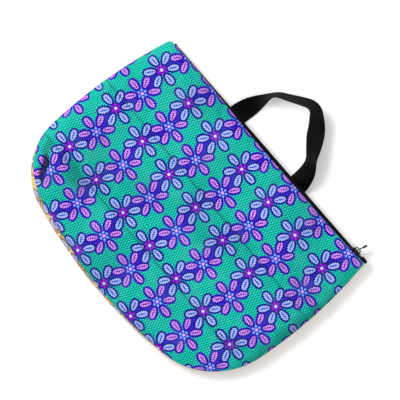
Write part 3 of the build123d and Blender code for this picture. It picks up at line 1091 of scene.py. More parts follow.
@dataclass
class PanelNet:
    """Net of a panel: its field in three bands between the quilting rows, and its rolled rim.

    Every layer of both panels uses the same net, so that layers match point for point.
    """

    plan: Plan
    columns: int = 100
    roll: float = 13.0
    rim_steps: int = 9
    mouth_steps: int = 6
    mouth_roll: float = 4.6
    corner_left: float = 6.0
    corner_right: float = 2.2
    mouth_ends: Pair = (-163.0, 173.0)
    turns: Pair = (-45.0, 42.0)
    spans: tuple[float, float, float] = (88.0, 92.0, 62.0)
    levelled: float = 45.0

    def __post_init__(self) -> None:
        """Lay the net out once in plan.

        The field's corners at the bottom lie where the outline runs at the angles `turns`, and
        near the mouth the rim's inward direction is levelled, so that it runs along the zip.
        """
        line = self.plan.line()
        run = run_along(line)
        low = int(np.argmin(line[:, 1]))
        mouth = self.plan.edge_y(np.array(self.mouth_ends)) - self.mouth_roll

        def at_height(y: float, left: bool) -> float:
            """Distance along the outline where one side crosses that height."""
            part = slice(0, low) if left else slice(low, None)
            ys, ss = line[part, 1], run[part]
            return float(np.interp(-y, -ys, ss)) if left else float(np.interp(y, ys, ss))

        marks_l, marks_r = [at_height(mouth[0], True)], [at_height(mouth[1], False)]
        for row in ROWS:
            marks_l.append(at_height(row.left[1] + row.rise(self.plan.left), True))
            marks_r.append(at_height(row.left[1] + row.rise(self.plan.right), False))
        tangent = np.gradient(line, axis=0)
        angle = np.degrees(np.arctan2(tangent[:, 1], tangent[:, 0]))
        for marks, turn in zip((marks_l, marks_r), self.turns):
            marks.append(float(run[int(np.argmin(np.abs(angle - turn)))]))

        self.bands = [self._spacing(h, i < 2) for i, h in enumerate(self.spans)]
        left_s, right_s = [], []
        for i, band in enumerate(self.bands):
            left_s.append(marks_l[i] + (marks_l[i + 1] - marks_l[i]) * band)
            right_s.append(marks_r[i] + (marks_r[i + 1] - marks_r[i]) * band)
        self.cols = np.linspace(0, 1, self.columns + 1)
        bottom_s = marks_l[3] + (marks_r[3] - marks_l[3]) * self.cols
        rim = [left_s[0], left_s[1][1:], left_s[2][1:], bottom_s[1:-1]]
        rim += [right_s[2][::-1], right_s[1][::-1][1:], right_s[0][::-1][1:]]
        self.rim_s = np.concatenate(rim)
        self.counts = [len(b) for b in self.bands]
        self.rim_xy = read_at(self.rim_s, run, line)
        direction = unit(read_at(self.rim_s, run, tangent))
        inward = np.stack([-direction[:, 1], direction[:, 0]], 1)
        flat = 1 - smooth((mouth[0] - self.rim_xy[:, 1]) / self.levelled)
        flat = np.where(self.rim_xy[:, 1] > 0, flat, 0.0)
        level = np.stack([np.sign(inward[:, 0]), np.zeros(len(inward))], 1)
        self.inward = unit(inward * (1 - flat[:, None]) + level * flat[:, None])
        self._weld()

    def _spacing(self, height: float, row_after: bool) -> Points:
        """Shares of a band's height where its rows of points lie, close together by seams."""
        start = np.array([0.0, 0.9, 2.0, 3.4, 5.2, 7.6, 10.4])
        end = (height - start)[::-1] if row_after else np.array([height])
        middle = np.linspace(start[-1], end[0], max(2, int((end[0] - start[-1]) / 3.4)) + 1)
        return np.r_[start, middle[1:-1], end] / height

    def _coons(self, top: Points, bottom: Points, left: Points, right: Points, v: Points) -> Points:
        """Fill a four-sided patch from its sides."""
        u = self.cols[None, :, None]
        w = v[:, None, None]
        ruled = (1 - w) * top[None] + w * bottom[None]
        ruled = ruled + (1 - u) * left[:, None] + u * right[:, None]
        corners = (1 - u) * (1 - w) * top[0] + u * (1 - w) * top[-1]
        corners = corners + (1 - u) * w * bottom[0] + u * w * bottom[-1]
        return ruled - corners

    def lay(
        self, depth_at: Callable[[float], Points], mouth_inset: float
    ) -> tuple[Points, Points, Points]:
        """Plan of one layer, before welding.

        Args:
            depth_at: how far inside the outline the rim lies at each lift angle.
            mouth_inset: how far its mouth edge lies inside the fabric edge.
        Returns:
            Points in plan, their lift up the rolled rim (90 on the field) and their turn round
            the mouth edge.
        """
        inner = self.rim_xy + self.inward * self.roll
        nodes = self.counts
        n_left = sum(nodes) - 2
        count = len(inner)
        left = inner[:n_left]
        right = inner[count - n_left :][::-1]
        bottom = inner[n_left - 1 : count - n_left + 1]
        cuts = np.cumsum([0] + [n - 1 for n in nodes])
        tops = [self._mouth_line(left[0], right[0])]
        for c in cuts[1:3]:
            tops.append(left[c] + (right[c] - left[c]) * self.cols[:, None])
        tops.append(bottom)
        plan, lift, lip = [], [], []
        for i in range(3):
            a, b = cuts[i], cuts[i + 1] + 1
            patch = self._coons(tops[i], tops[i + 1], left[a:b], right[a:b], self.bands[i])
            plan.append(patch.reshape(-1, 2))
            lift.append(np.full(patch.shape[0] * patch.shape[1], 90.0))
            lip.append(np.zeros(patch.shape[0] * patch.shape[1]))
        angles = np.linspace(0, 90, self.rim_steps + 1)
        depths = [(depth_at(a) + np.zeros(count))[:, None] for a in angles]
        rings = np.array([self.rim_xy + self.inward * depth for depth in depths])
        plan.append(rings.reshape(-1, 2))
        lift.append(np.repeat(angles, count))
        lip.append(np.zeros(rings.shape[0] * count))
        top_row = np.vstack([rings[:-1, 0], tops[0], rings[:-1, -1][::-1]])
        top_lift = np.r_[angles[:-1], np.full(self.columns + 1, 90.0), angles[:-1][::-1]]
        for turn in np.linspace(0, 90, self.mouth_steps + 1):
            edge = self.plan.edge_y(top_row[:, 0]) - mouth_inset
            if mouth_inset:
                edge = np.minimum(edge, self.plan.behind_slider)
            reach = (edge - top_row[:, 1]) * math.sin(math.radians(turn))
            row = top_row + np.stack([np.zeros(len(top_row)), reach], 1)
            plan.append(row)
            lift.append(top_lift)
            lip.append(np.full(len(row), turn))
        self.grids = [(nodes[i], self.columns + 1) for i in range(3)]
        self.grids += [(len(angles), count), (self.mouth_steps + 1, len(top_row))]
        lifts = np.concatenate(lift)
        return self._round_corners(np.vstack(plan), lifts), lifts, np.concatenate(lip)

    def plain(self) -> tuple[Points, Points, Points]:
        """The net as lay() gives it, with its rim spaced evenly."""
        return self.lay(lambda a: np.full(len(self.rim_s), self.roll * a / 90), 0.0)

    def flatten(self, points: Points) -> Points:
        """Flat-cloth coordinates of a layer: the field as it lies, the rim and mouth edge unrolled.

        Args:
            points: the layer's points before welding.
        Returns:
            Coordinates on the flat cloth, with a third column of zeros.
        """
        sizes = [r * c for r, c in self.grids]
        starts = np.cumsum([0] + sizes)
        flat = points[:, :2].copy()
        rows, count = self.grids[3]
        rim = points[starts[3] : starts[4]].reshape(rows, count, 3)
        hop = np.linalg.norm(np.diff(rim, axis=0), axis=2)
        arc = np.vstack([np.cumsum(hop[::-1], axis=0)[::-1], np.zeros(count)])
        flat_rim = rim[-1, :, :2][None] - self.inward[None] * arc[:, :, None]
        flat[starts[3] : starts[4]] = flat_rim.reshape(-1, 2)
        rows, wide = self.grids[4]
        lip = points[starts[4] : starts[5]].reshape(rows, wide, 3)
        hop = np.linalg.norm(np.diff(lip, axis=0), axis=2)
        arc = np.vstack([np.zeros(wide), np.cumsum(hop, axis=0)])
        field_top = lip[0, self.rim_steps : wide - self.rim_steps, :2]
        base = np.vstack([flat_rim[:-1, 0], field_top, flat_rim[:-1, -1][::-1]])
        flat_lip = base[None] + np.stack([np.zeros_like(arc), arc], 2)
        flat[starts[4] : starts[5]] = flat_lip.reshape(-1, 2)
        return np.c_[flat, np.zeros(len(flat))]

    def _mouth_line(self, start: Points, end: Points) -> Points:
        """Line where the field ends and the mouth edge starts to roll."""
        x = start[0] + (end[0] - start[0]) * self.cols
        y = self.plan.edge_y(x) - self.mouth_roll
        fix = (start[1] - y[0]) * (1 - self.cols) + (end[1] - y[-1]) * self.cols
        return np.stack([x, y + fix], 1)

    def _round_corners(self, plan: Points, lift: Points) -> Points:
        """Pull the rim in near both ends of the mouth, for rounded corners."""
        x, y = plan.T
        edge = self.plan.edge_y(x)
        out = plan.copy()
        for end, r in ((-1, self.corner_left), (1, self.corner_right)):
            near = np.clip(1 - (edge - y) / r, 0, 1)
            pull = r * (1 - np.sqrt(1 - near**2)) * np.cos(np.radians(lift))
            out[:, 0] -= end * pull * (x * end > 100)
        return out

    def _weld(self) -> None:
        """Find which raw points coincide, and the faces between them."""
        plan, lift, lip = self.plain()
        marks = np.round(np.c_[plan * 400 + 0.137, lift * 3, lip * 3]).astype(np.int64)
        _, first, back = np.unique(marks, axis=0, return_index=True, return_inverse=True)
        order = np.argsort(first)
        place = np.empty(len(order), int)
        place[order] = np.arange(len(order))
        self.keep, back = first[order], place[back.ravel()]
        faces, start = [], 0
        for part, (rows, cols) in enumerate(self.grids):
            grid = back[start + np.arange(rows * cols)].reshape(rows, cols)
            sides = [grid[:-1, :-1], grid[1:, :-1], grid[1:, 1:], grid[:-1, 1:]]
            quads = np.stack(sides, -1).reshape(-1, 4)
            if part >= 3:
                quads = quads[:, ::-1]
            faces += [tuple(dict.fromkeys(q.tolist())) for q in quads]
            start += rows * cols
        self.faces = [f for f in faces if len(f) > 2]


# ---------------------------------------------------------------- the panels


@dataclass
class Opening:
    """The mouth's opening, from `left` to `right` along the zip; the front's soft pieces are cut in
    two at `middle`.
    """

    left: float
    right: float
    middle: float = 0.0

    def part(self, made: bpy.types.Object, *nodes: str) -> list[bpy.types.Object]:
        """Cut a finished front piece in two at the middle.

        Args:
            made: the piece, final and on no body.
            nodes: CAD nodes it stands for.
        Returns:
            The left and right halves.
        """
        data = made.data
        normals = point_normals(data)
        stored = data.attributes.new("rest_normal", "FLOAT_VECTOR", "POINT")
        stored.data.foreach_set("vector", normals.ravel())
        halves = []
        for side, name, end in ((-1, "left", self.left), (1, "right", self.right)):
            half = made.copy()
            half.data = data.copy()
            half.name = half.data.name = f"{made.name}_{name}"
            bpy.context.scene.collection.objects.link(half)
            cut = bmesh.new()
            cut.from_mesh(half.data)
            middle = self.middle * MM
            away = [f for f in cut.faces if (f.calc_center_median().x - middle) * side < 0]
            bmesh.ops.delete(cut, geom=away, context="FACES")
            cut.to_mesh(half.data)
            cut.free()
            if not half.data.polygons:
                bpy.data.objects.remove(half)
                continue
            kept = half.data.attributes["rest_normal"]
            normals = read_vectors(kept.data, "vector").tolist()
            half.data.attributes.remove(kept)
            half.data.normals_split_custom_set_from_vertices(normals)
            end * MM
            self.middle * MM
            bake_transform(half)
            if nodes:
                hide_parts(*nodes)
            halves.append(half)
            log.info("%s opens with the mouth, %d faces", half.name, len(half.data.polygons))
        bpy.data.objects.remove(made)
        return halves


@dataclass
class Panels:
    """Cover, wadding and lining of both panels, sewn at the rim and quilted in two rows.

    Layers that lie less than `thin` under the cover share its folds, deeper ones are smoother.
    """

    maker: Maker
    net: PanelNet
    opening: Opening
    top: float
    seam_mouth: float = 11.4
    seam_rise: float = 4.4
    belly: float = 9.0
    cover_gap: float = 0.9
    straps: Pair = (-49.7, 56.4)
    hem_front: Stops = ((-170.0, 4.9), (178.0, 4.5))
    quilting: float = 1.5
    thin: float = 2.0
    seam_half: float = 0.15
    widest_at: float = 30.0
    wadding_fill: float = 0.35

    def seam(self, y: Points) -> Points:
        """Height of the seam between the panels."""
        plan = self.net.plan
        return self.seam_mouth + self.seam_rise * (plan.mouth - y) / (plan.mouth - plan.bottom)

    def row_gap(self, x: Points, y: Points) -> Points:
        """Distance to the nearer quilting row."""
        return np.minimum(*(np.abs(y - row.left[1] - row.rise(x)) for row in ROWS))

    def crown(self, x: Points, y: Points) -> Points:
        """Height of the front cover over its field, quilting, puckers and dents included."""
        gap = self.row_gap(x, y)
        height = np.full_like(x, self.top - 1.0) + 0.9 * (1 - np.exp(-gap / 15.0))
        height -= self.quilting * bell(gap, 1.5) + 0.8 * bell(gap, 7.0)
        drift = waves(x, y, 3, (50.0, 120.0)) * 2.2
        pucker = np.sin(TAU * x / 9.3 + drift * 2)
        pucker = pucker + 0.7 * np.sin(TAU * x / 15.7 + 1.3 + drift)
        height += 0.26 * pucker * bell(gap, 8.0) * (1 - bell(gap, 1.2))
        height += 0.5 * waves(x, y, 11, (45.0, 130.0)) + 0.14 * waves(x, y, 5, (11.0, 24.0))
        along, across = DENT.local(x, y)
        height -= 4.6 * np.exp(-((across / 4.2) ** 2) - (along / 13.0) ** 2)
        height += 1.2 * np.exp(-(((across - 8.0) / 5.0) ** 2) - (along / 16.0) ** 2)
        return height

    def peek(self) -> Points:
        """How far the back panel shows past the front one, at each point of the rim."""
        facing = smooth((self.net.inward[:, 1] - 0.12) / 0.4)
        return self.net.plan.peek(self.net.rim_xy[:, 0]) * facing

    def front(self, drop: float, rim: float, mouth: float) -> Points:
        """Points of one front layer.

        Args:
            drop: how far it lies under the cover.
            rim: how far inside the cover its rim lies.
            mouth: how far inside the cover's mouth edge it ends.
        Returns:
            Its points before welding.
        """
        inset = rim + self.peek()
        wide = self.net.roll - inset

        def depth(angle: float) -> Points:
            """A quarter circle from the seam in to the field."""
            return inset + wide * (1 - math.cos(math.radians(angle)))

        plan, lift, lip = self.net.lay(depth, mouth)
        x, y = plan.T
        up, turn = np.radians(lift), np.radians(lip)
        seam = self.seam(y) + self.seam_half
        crown, outer = self.crown(x, y), drop < self.thin
        if not outer:
            crown = crown * 0.3 + (self.top - 1.0) * 0.7
        z = seam + (crown - drop - seam) * np.sin(up)
        pleat = 0.28 * np.sin(TAU * (x + y) / 8.5 + 2 * waves(x, y, 9, (60.0, 90.0)))
        z = z + pleat * np.sin(2 * up) * outer
        hem = seam + (ramp(x, self.hem_front) - 0.3 * min(drop, 1.0)) * np.sin(up)
        z = hem + (z - hem) * np.cos(turn)
        return np.stack([x, y, z], 1)

    def back(self, rise: float, rim: float, mouth: float) -> Points:
        """Points of one back layer, as front() gives them; rise is its height over the table."""
        net, peek = self.net, self.peek()

        def depth(angle: float) -> Points:
            """First it runs from the seam out to the widest place, then under the panel."""
            if angle <= self.widest_at:
                return rim + peek * (1 - math.sin(math.radians(angle * 3)))
            under = math.radians((angle - self.widest_at) * 1.5)
            return rim + (net.roll - rim) * (1 - math.cos(under))

        plan, lift, lip = net.lay(depth, mouth)
        x, y = plan.T
        seam, turn = self.seam(y) - self.seam_half, np.radians(lip)
        high = np.radians(np.clip(lift, 0, self.widest_at) * 3)
        low = np.radians(np.clip(lift - self.widest_at, 0, 60) * 1.5)
        z = self.belly + (seam - self.belly) * np.cos(high)
        gap = self.row_gap(x, y)
        flat = rise + 0.9 * bell(gap, 1.8) + 0.12 * (1 + waves(x, y, 17, (18.0, 60.0)))
        z = np.where(lift > self.widest_at, flat + (self.belly - flat) * (1 - np.sin(low)), z)
        hem = np.maximum(z, self.hem_back(x) + 0.3 * min(rise, 1.0))
        z = z + (hem - z) * (1 - np.cos(turn))
        return np.stack([x, y, z], 1)

    def hem_back(self, x: Points) -> Points:
        """Height of the back cover's mouth hem, which lies under the strap where that leaves."""
        out = np.full_like(x, 6.6)
        for strap in self.straps:
            lap = smooth((17.5 - np.abs(x - strap)) / 4.0)
            out = out * (1 - lap) + 0.45 * lap
        return out

    def sheet(self, name: str, points: Points, finish: Finish, flip: bool) -> bpy.types.Object:
        """Make one layer of cloth, with its flat-cloth coordinates."""
        net = self.net
        flat = net.flatten(points)[net.keep]
        faces = [f[::-1] for f in net.faces] if flip else net.faces
        return self.maker.mesh(name, Shape(points[net.keep], faces, {"cloth": flat}), finish)

    def pad(self, name: str, outer: Points, inner: Points, flip: bool) -> bpy.types.Object:
        """Make the wadding between two layers as one closed piece."""
        net = self.net
        count = len(outer)
        used: dict[tuple[int, int], int] = {}
        for face in net.faces:
            for i, j in zip(face, face[1:] + face[:1]):
                used[(i, j)] = used.get((i, j), 0) + 1
        rim = [(i, j) for i, j in used if (j, i) not in used]
        faces = net.faces + [tuple(i + count for i in f[::-1]) for f in net.faces]
        faces += [(j, i, i + count, j + count) for i, j in rim]
        if flip:
            faces = [f[::-1] for f in faces]
        return self.maker.mesh(name, Shape(np.vstack([outer, inner]), faces), Finish.WADDING)

    def settle(self, made: bpy.types.Object, held: Points, cap: float, push: float) -> None:
        """Let the sewn cloth fill out over its wadding, above the table, and keep the result.

        Args:
            made: the cloth.
            held: 1 where it is sewn down, 0 where it is free.
            cap: the furthest a point may travel.
            push: pressure of the wadding.
        """
        rest = places(made.data)
        group = made.vertex_groups.new(name="sewn")
        levels = np.round(held, 2)
        for level in np.unique(levels[levels > 0]):
            group.add(np.nonzero(levels == level)[0].tolist(), float(level), "REPLACE")
        modifier = made.modifiers.new("settle", "CLOTH")
        cloth = modifier.settings
        cloth.quality = 6
        cloth.mass = 0.25
        cloth.tension_stiffness = cloth.compression_stiffness = 18.0
        cloth.shear_stiffness = 6.0
        cloth.bending_stiffness = 0.35
        cloth.shrink_min = -0.012
        cloth.use_pressure = True
        cloth.uniform_pressure_force = push
        cloth.vertex_group_mass = "sewn"
        cloth.effector_weights.gravity = 0.0
        modifier.collision_settings.use_collision = False
        modifier.point_cache.frame_end = SETTLE_FRAMES
        for frame in range(1, SETTLE_FRAMES + 1):
            bpy.context.scene.frame_set(frame)
        self.maker.bake(made)
        made.vertex_groups.clear()
        move = places(made.data) - rest
        length = np.linalg.norm(move, axis=1)[:, None]
        move *= np.minimum(1.0, cap / np.maximum(length, 1e-6))
        settled = rest + move * (1 - held[:, None])
        settled[:, 2] = np.maximum(settled[:, 2], 0.0)
        made.data.vertices.foreach_set("co", (settled * MM).astype(np.float32).ravel())
        made.data.update()
        bpy.context.scene.frame_set(1)
        log.info("%s moved by up to %.2f mm before the cap", made.name, length.max())

    def held(self, points: Points) -> Points:
        """Where a cover is sewn down: rim, mouth edge and quilting rows."""
        _, lift, lip = (part[self.net.keep] for part in self.net.plain())
        hold = np.maximum(smooth((22.0 - lift) / 20.0), smooth((lip - 30.0) / 40.0))
        return np.maximum(hold, smooth((2.4 - self.row_gap(*points[:, :2].T)) / 1.6))

    def declare(self, made: bpy.types.Object) -> None:
        """Say what a stretched sheet was cut to, from its flat-cloth coordinates."""
        stored = read_vectors(made.data.attributes["cloth"].data, "vector")
        flat = stored[:, :2].astype(float) * MM
        area = 0.0
        for face in made.data.polygons:
            p = flat[list(face.vertices)]
            q = np.roll(p, -1, axis=0)
            area += abs(float(np.sum(p[:, 0] * q[:, 1] - p[:, 1] * q[:, 0]))) / 2
        size = flat.max(0) - flat.min(0)
        area = min(area, float(size[0] * size[1]))
        log.info("%s is cut from %.0f x %.0f mm", made.name, *(size / MM))

    def build(self) -> tuple[BVHTree, BVHTree]:
        """Make the six layers.

        Returns:
            Search trees of the front and back covers, for the stitches.
        """
        front = self.sheet("cover_front", self.front(0.0, 0.0, 0.0), Finish.PRINT_FRONT, False)
        back = self.sheet("cover_back", self.back(0.0, 0.0, 0.0), Finish.PRINT_BACK, True)
        self.settle(front, self.held(places(front.data)), 2.2, 3.0)
        self.settle(back, self.held(places(back.data)), 1.0, 2.0)
        under_front, under_back = (self.underside(o, self.cover_gap) for o in (front, back))
        for under in (under_front, under_back):
            under[:, 1] = np.minimum(under[:, 1], self.net.plan.behind_slider)
        self.maker.smoother(front)
        self.maker.smoother(back)
        trees = tuple(self.tree(o) for o in (front, back))
        for half in self.opening.part(front, "front_cover"):
            self.declare(half)
        self.declare(self.maker.rides(back, "back", "back_cover"))

        inner = self.front(4.9, 5.0, 2.4)[self.net.keep]
        pad = self.pad("wadding_front", under_front, inner, False)
        for half in self.opening.part(pad, "front_padding"):
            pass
        under_back[:, 2] += self.strap_room(*under_back[:, :2].T)
        pad = self.pad("wadding_back", under_back, self.back(4.8, 5.0, 2.4)[self.net.keep], True)
        self.maker.rides(pad, "back", "back_padding")

        lining = self.sheet("lining_front", self.front(5.3, 5.5, 2.8), Finish.LINING, True)
        for half in self.opening.part(lining, "front_lining"):
            self.declare(half)
        lining = self.sheet("lining_back", self.back(5.2, 5.5, 2.8), Finish.LINING, False)
        self.declare(self.maker.rides(lining, "back", "back_lining"))
        return trees

    def strap_room(self, x: Points, y: Points) -> Points:
        """How far the wadding gives way over the sewn ends of the strap."""
        give = np.zeros_like(x)
        for strap in self.straps:
            give += 1.7 * smooth((14.5 - np.abs(x - strap)) / 2.0) * smooth((y - 98.0) / 3.0)
        return give

    @staticmethod
    def underside(made: bpy.types.Object, gap: float) -> Points:
        """Points just under a cloth, on the side away from its normals."""
        return places(made.data) - point_normals(made.data) * gap

    @staticmethod
    def tree(made: bpy.types.Object) -> BVHTree:
        """Search tree of a mesh, in millimetres."""
        faces = [tuple(f.vertices) for f in made.data.polygons]
        return BVHTree.FromPolygons(places(made.data).tolist(), faces)


@dataclass
class Stitching:
    """Machine stitches: the quilting rows on both covers and the boxes that hold the strap."""

    maker: Maker
    opening: Opening
    length: float = 2.5
    gap: float = 0.75
    thick: float = 0.42
    inset: float = 6.0
    box_half: float = 8.5
    box_middle: float = 9.0
    box_level: float = 0.22

    def stitch(self, start: Points, end: Points, up: Points) -> Shape:
        """One stitch as a small bowed bead of thread.

        Args:
            start, end: where it enters and leaves the cloth.
            up: which way it stands off the cloth.
        Returns:
            Its shape.
        """
        run = end - start
        side = np.cross(run / np.linalg.norm(run), up)
        section = [math.cos(a) * side + 0.8 * math.sin(a) * up for a in around(6)]
        rings = []
        for t in (0.0, 0.12, 0.5, 0.88, 1.0):
            swell = math.sin(math.pi * min(max(t, 0.06), 0.94)) ** 0.5
            centre = start + run * t + up * (0.12 * swell - 0.08)
            rings.append([centre + self.thick / 2 * swell * way for way in section])
        return sweep(np.array(rings))

    def run(self, line: Points, up: Points) -> Shape:
        """A row of stitches along a line of points."""
        along = run_along(line)
        marks = np.arange(0, along[-1] - self.length, self.length + self.gap)
        starts, ends = read_at(marks, along, line), read_at(marks + self.length, along, line)
        return combine(self.stitch(start, end, up) for start, end in zip(starts, ends))

    def on_cover(self, tree: BVHTree, row: Row, face: int) -> Points:
        """Line of a quilting row on a cover: face 1 from above, -1 from below."""
        found = []
        for x in np.arange(row.left[0] + self.inset, row.right[0] - self.inset, 1.2):
            y = row.left[1] + row.rise(x)
            hit = tree.ray_cast(Vector((x, y, 60.0 * face)), Vector((0, 0, -face)))[0]
            if hit is not None:
                found.append(tuple(hit))
        return np.array(found)

    def build(self, front: BVHTree, back: BVHTree) -> None:
        """Sew both covers and the strap ends.

        Args:
            front, back: search trees of the covers.
        """
        rows = combine([self.run(self.on_cover(front, row, 1), UP) for row in ROWS])
        made = self.maker.mesh("quilting_front", rows, Finish.THREAD_FRONT)
        self.opening.part(made, "quilt_stitch_front")
        rows = combine([self.run(self.on_cover(back, row, -1), -UP) for row in ROWS])
        made = self.maker.mesh("quilting_back", rows, Finish.THREAD_BACK)
        self.maker.rides(made, "back", "quilt_stitch_back")
        low, high = node_box("handle_tacks")
        box = [(-1, -1), (1, -1), (1, 1), (-1, 1), (-1, -1), (1, 1)]
        shapes = []
        for x in (low[0] + self.box_middle, high[0] - self.box_middle):
            middle = np.array([x, (low[1] + high[1]) / 2, self.box_level])
            for path in (box, [(-1, 1), (1, -1)]):
                corners = [middle + self.box_half * np.array([*corner, 0]) for corner in path]
                for ends in zip(corners, corners[1:]):
                    shapes.append(self.run(resample(np.array(ends), 20), -UP))
        made = self.maker.mesh("strap_boxes", combine(shapes), Finish.THREAD_BLACK)
        self.maker.rides(made, "back", "handle_tacks")


def combine(shapes: Iterable[Shape]) -> Shape:
    """Many shapes as one."""
    points, faces, base = [], [], 0
    stored: dict[str, list[Points]] = {}
    for shape in shapes:
        points.append(shape.points)
        faces += [tuple(i + base for i in f) for f in shape.faces]
        base += len(shape.points)
        for key, values in shape.coordinates.items():
            stored.setdefault(key, []).append(values)
    return Shape(np.vstack(points), faces, {k: np.vstack(v) for k, v in stored.items()})


def band(
    line: Points, side: Points, up: Points, half: float, thick: float, across: int
) -> Shape:
    """A flat ribbon along a line.

    Args:
        line: its centre line.
        side, up: at each point, the way across it and off its face.
        half: half its width.
        thick: its thickness.
        across: how many points span its width.
    Returns:
        The shape, with weave coordinates.
    """
    spread = np.linspace(-1, 1, across)
    round_off = np.sqrt(np.clip(1 - ((np.abs(spread) - 0.93) / 0.07).clip(0) ** 2 * 0.75, 0, 1))
    top = list(zip(spread, round_off))
    section = top + [(t, -r) for t, r in reversed(top)]
    rings, weave = [], []
    for here, s, u, v in zip(line, side, up, run_along(line)):
        rings.append([here + s * half * t + u * thick / 2 * r for t, r in section])
        weave.append([(half * t, v, 0) for t, _ in section])
    return sweep(np.array(rings), np.array(weave))


@dataclass
class Handle:
    """The webbing strap: its ends sewn in behind the mouth, its loop twisted on the table.

    A station is a place along the zip, a place out from the mouth and the strap's roll in degrees.
    """

    maker: Maker
    mouth: float
    width: float = 24.6
    thick: float = 1.5
    lies_at: float = 0.3
    sewn_at: float = 1.6
    stations: tuple[tuple[float, float, float], ...] = (
        (-49.8, -24.0, 0.0), (-49.9, -14.0, 0.0), (-49.9, -4.0, 0.0), (-49.6, 5.0, 4.0),
        (-48.6, 12.5, 14.0), (-46.3, 23.0, 33.0), (-43.5, 34.5, 57.0), (-40.0, 47.2, 79.0),
        (-34.6, 53.8, 77.0), (-25.6, 59.8, 73.5), (-11.8, 69.0, 69.0), (-4.0, 73.4, 66.0),
        (1.4, 74.2, 61.5), (7.5, 72.6, 56.0), (19.3, 63.3, 42.5), (27.3, 54.7, 35.0),
        (36.5, 43.7, 46.0), (45.7, 31.7, 60.0), (52.6, 19.6, 38.0), (55.5, 9.2, 20.0),
        (56.4, 3.0, 6.0), (56.5, -6.0, 0.0), (56.5, -15.0, 0.0), (56.4, -24.0, 0.0),
    )

    def build(self) -> bpy.types.Object:
        """Make the strap along its twisted loop, from one sewn end to the other.

        Returns:
            The piece.
        """
        path = spline(np.array(self.stations), 1.6)
        line = np.c_[path[:, 0], self.mouth + path[:, 1]]
        along = unit(np.gradient(line, axis=0))
        roll = np.radians(path[:, 2])
        outward = np.stack([-along[:, 1], along[:, 0], np.zeros(len(line))], 1)
        side = outward * np.cos(roll)[:, None] + UP * np.sin(roll)[:, None]
        face = np.cross(side, np.c_[along, np.zeros(len(line))])
        face *= np.where(face[:, 2] < 0, -1, 1)[:, None]
        sewn = smooth(1 - path[:, 1] / 5.0)
        rise = self.width / 2 * np.sin(roll) + self.thick / 2 * np.cos(roll)
        z = self.lies_at + rise + sewn * (self.sewn_at - self.lies_at - self.thick / 2)
        shape = band(np.c_[line, z], side, face, self.width / 2, self.thick, 12)
        made = self.maker.mesh("handle_strap", shape, Finish.WEBBING)
        self.maker.smoother(made)
        y = self.mouth * MM
        y + 0.005
        y + 0.020
        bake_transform(made)
        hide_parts("handle_webbing", "handle_end_left", "handle_end_right")
        log.info("handle_strap bends between back and handle")
        return made


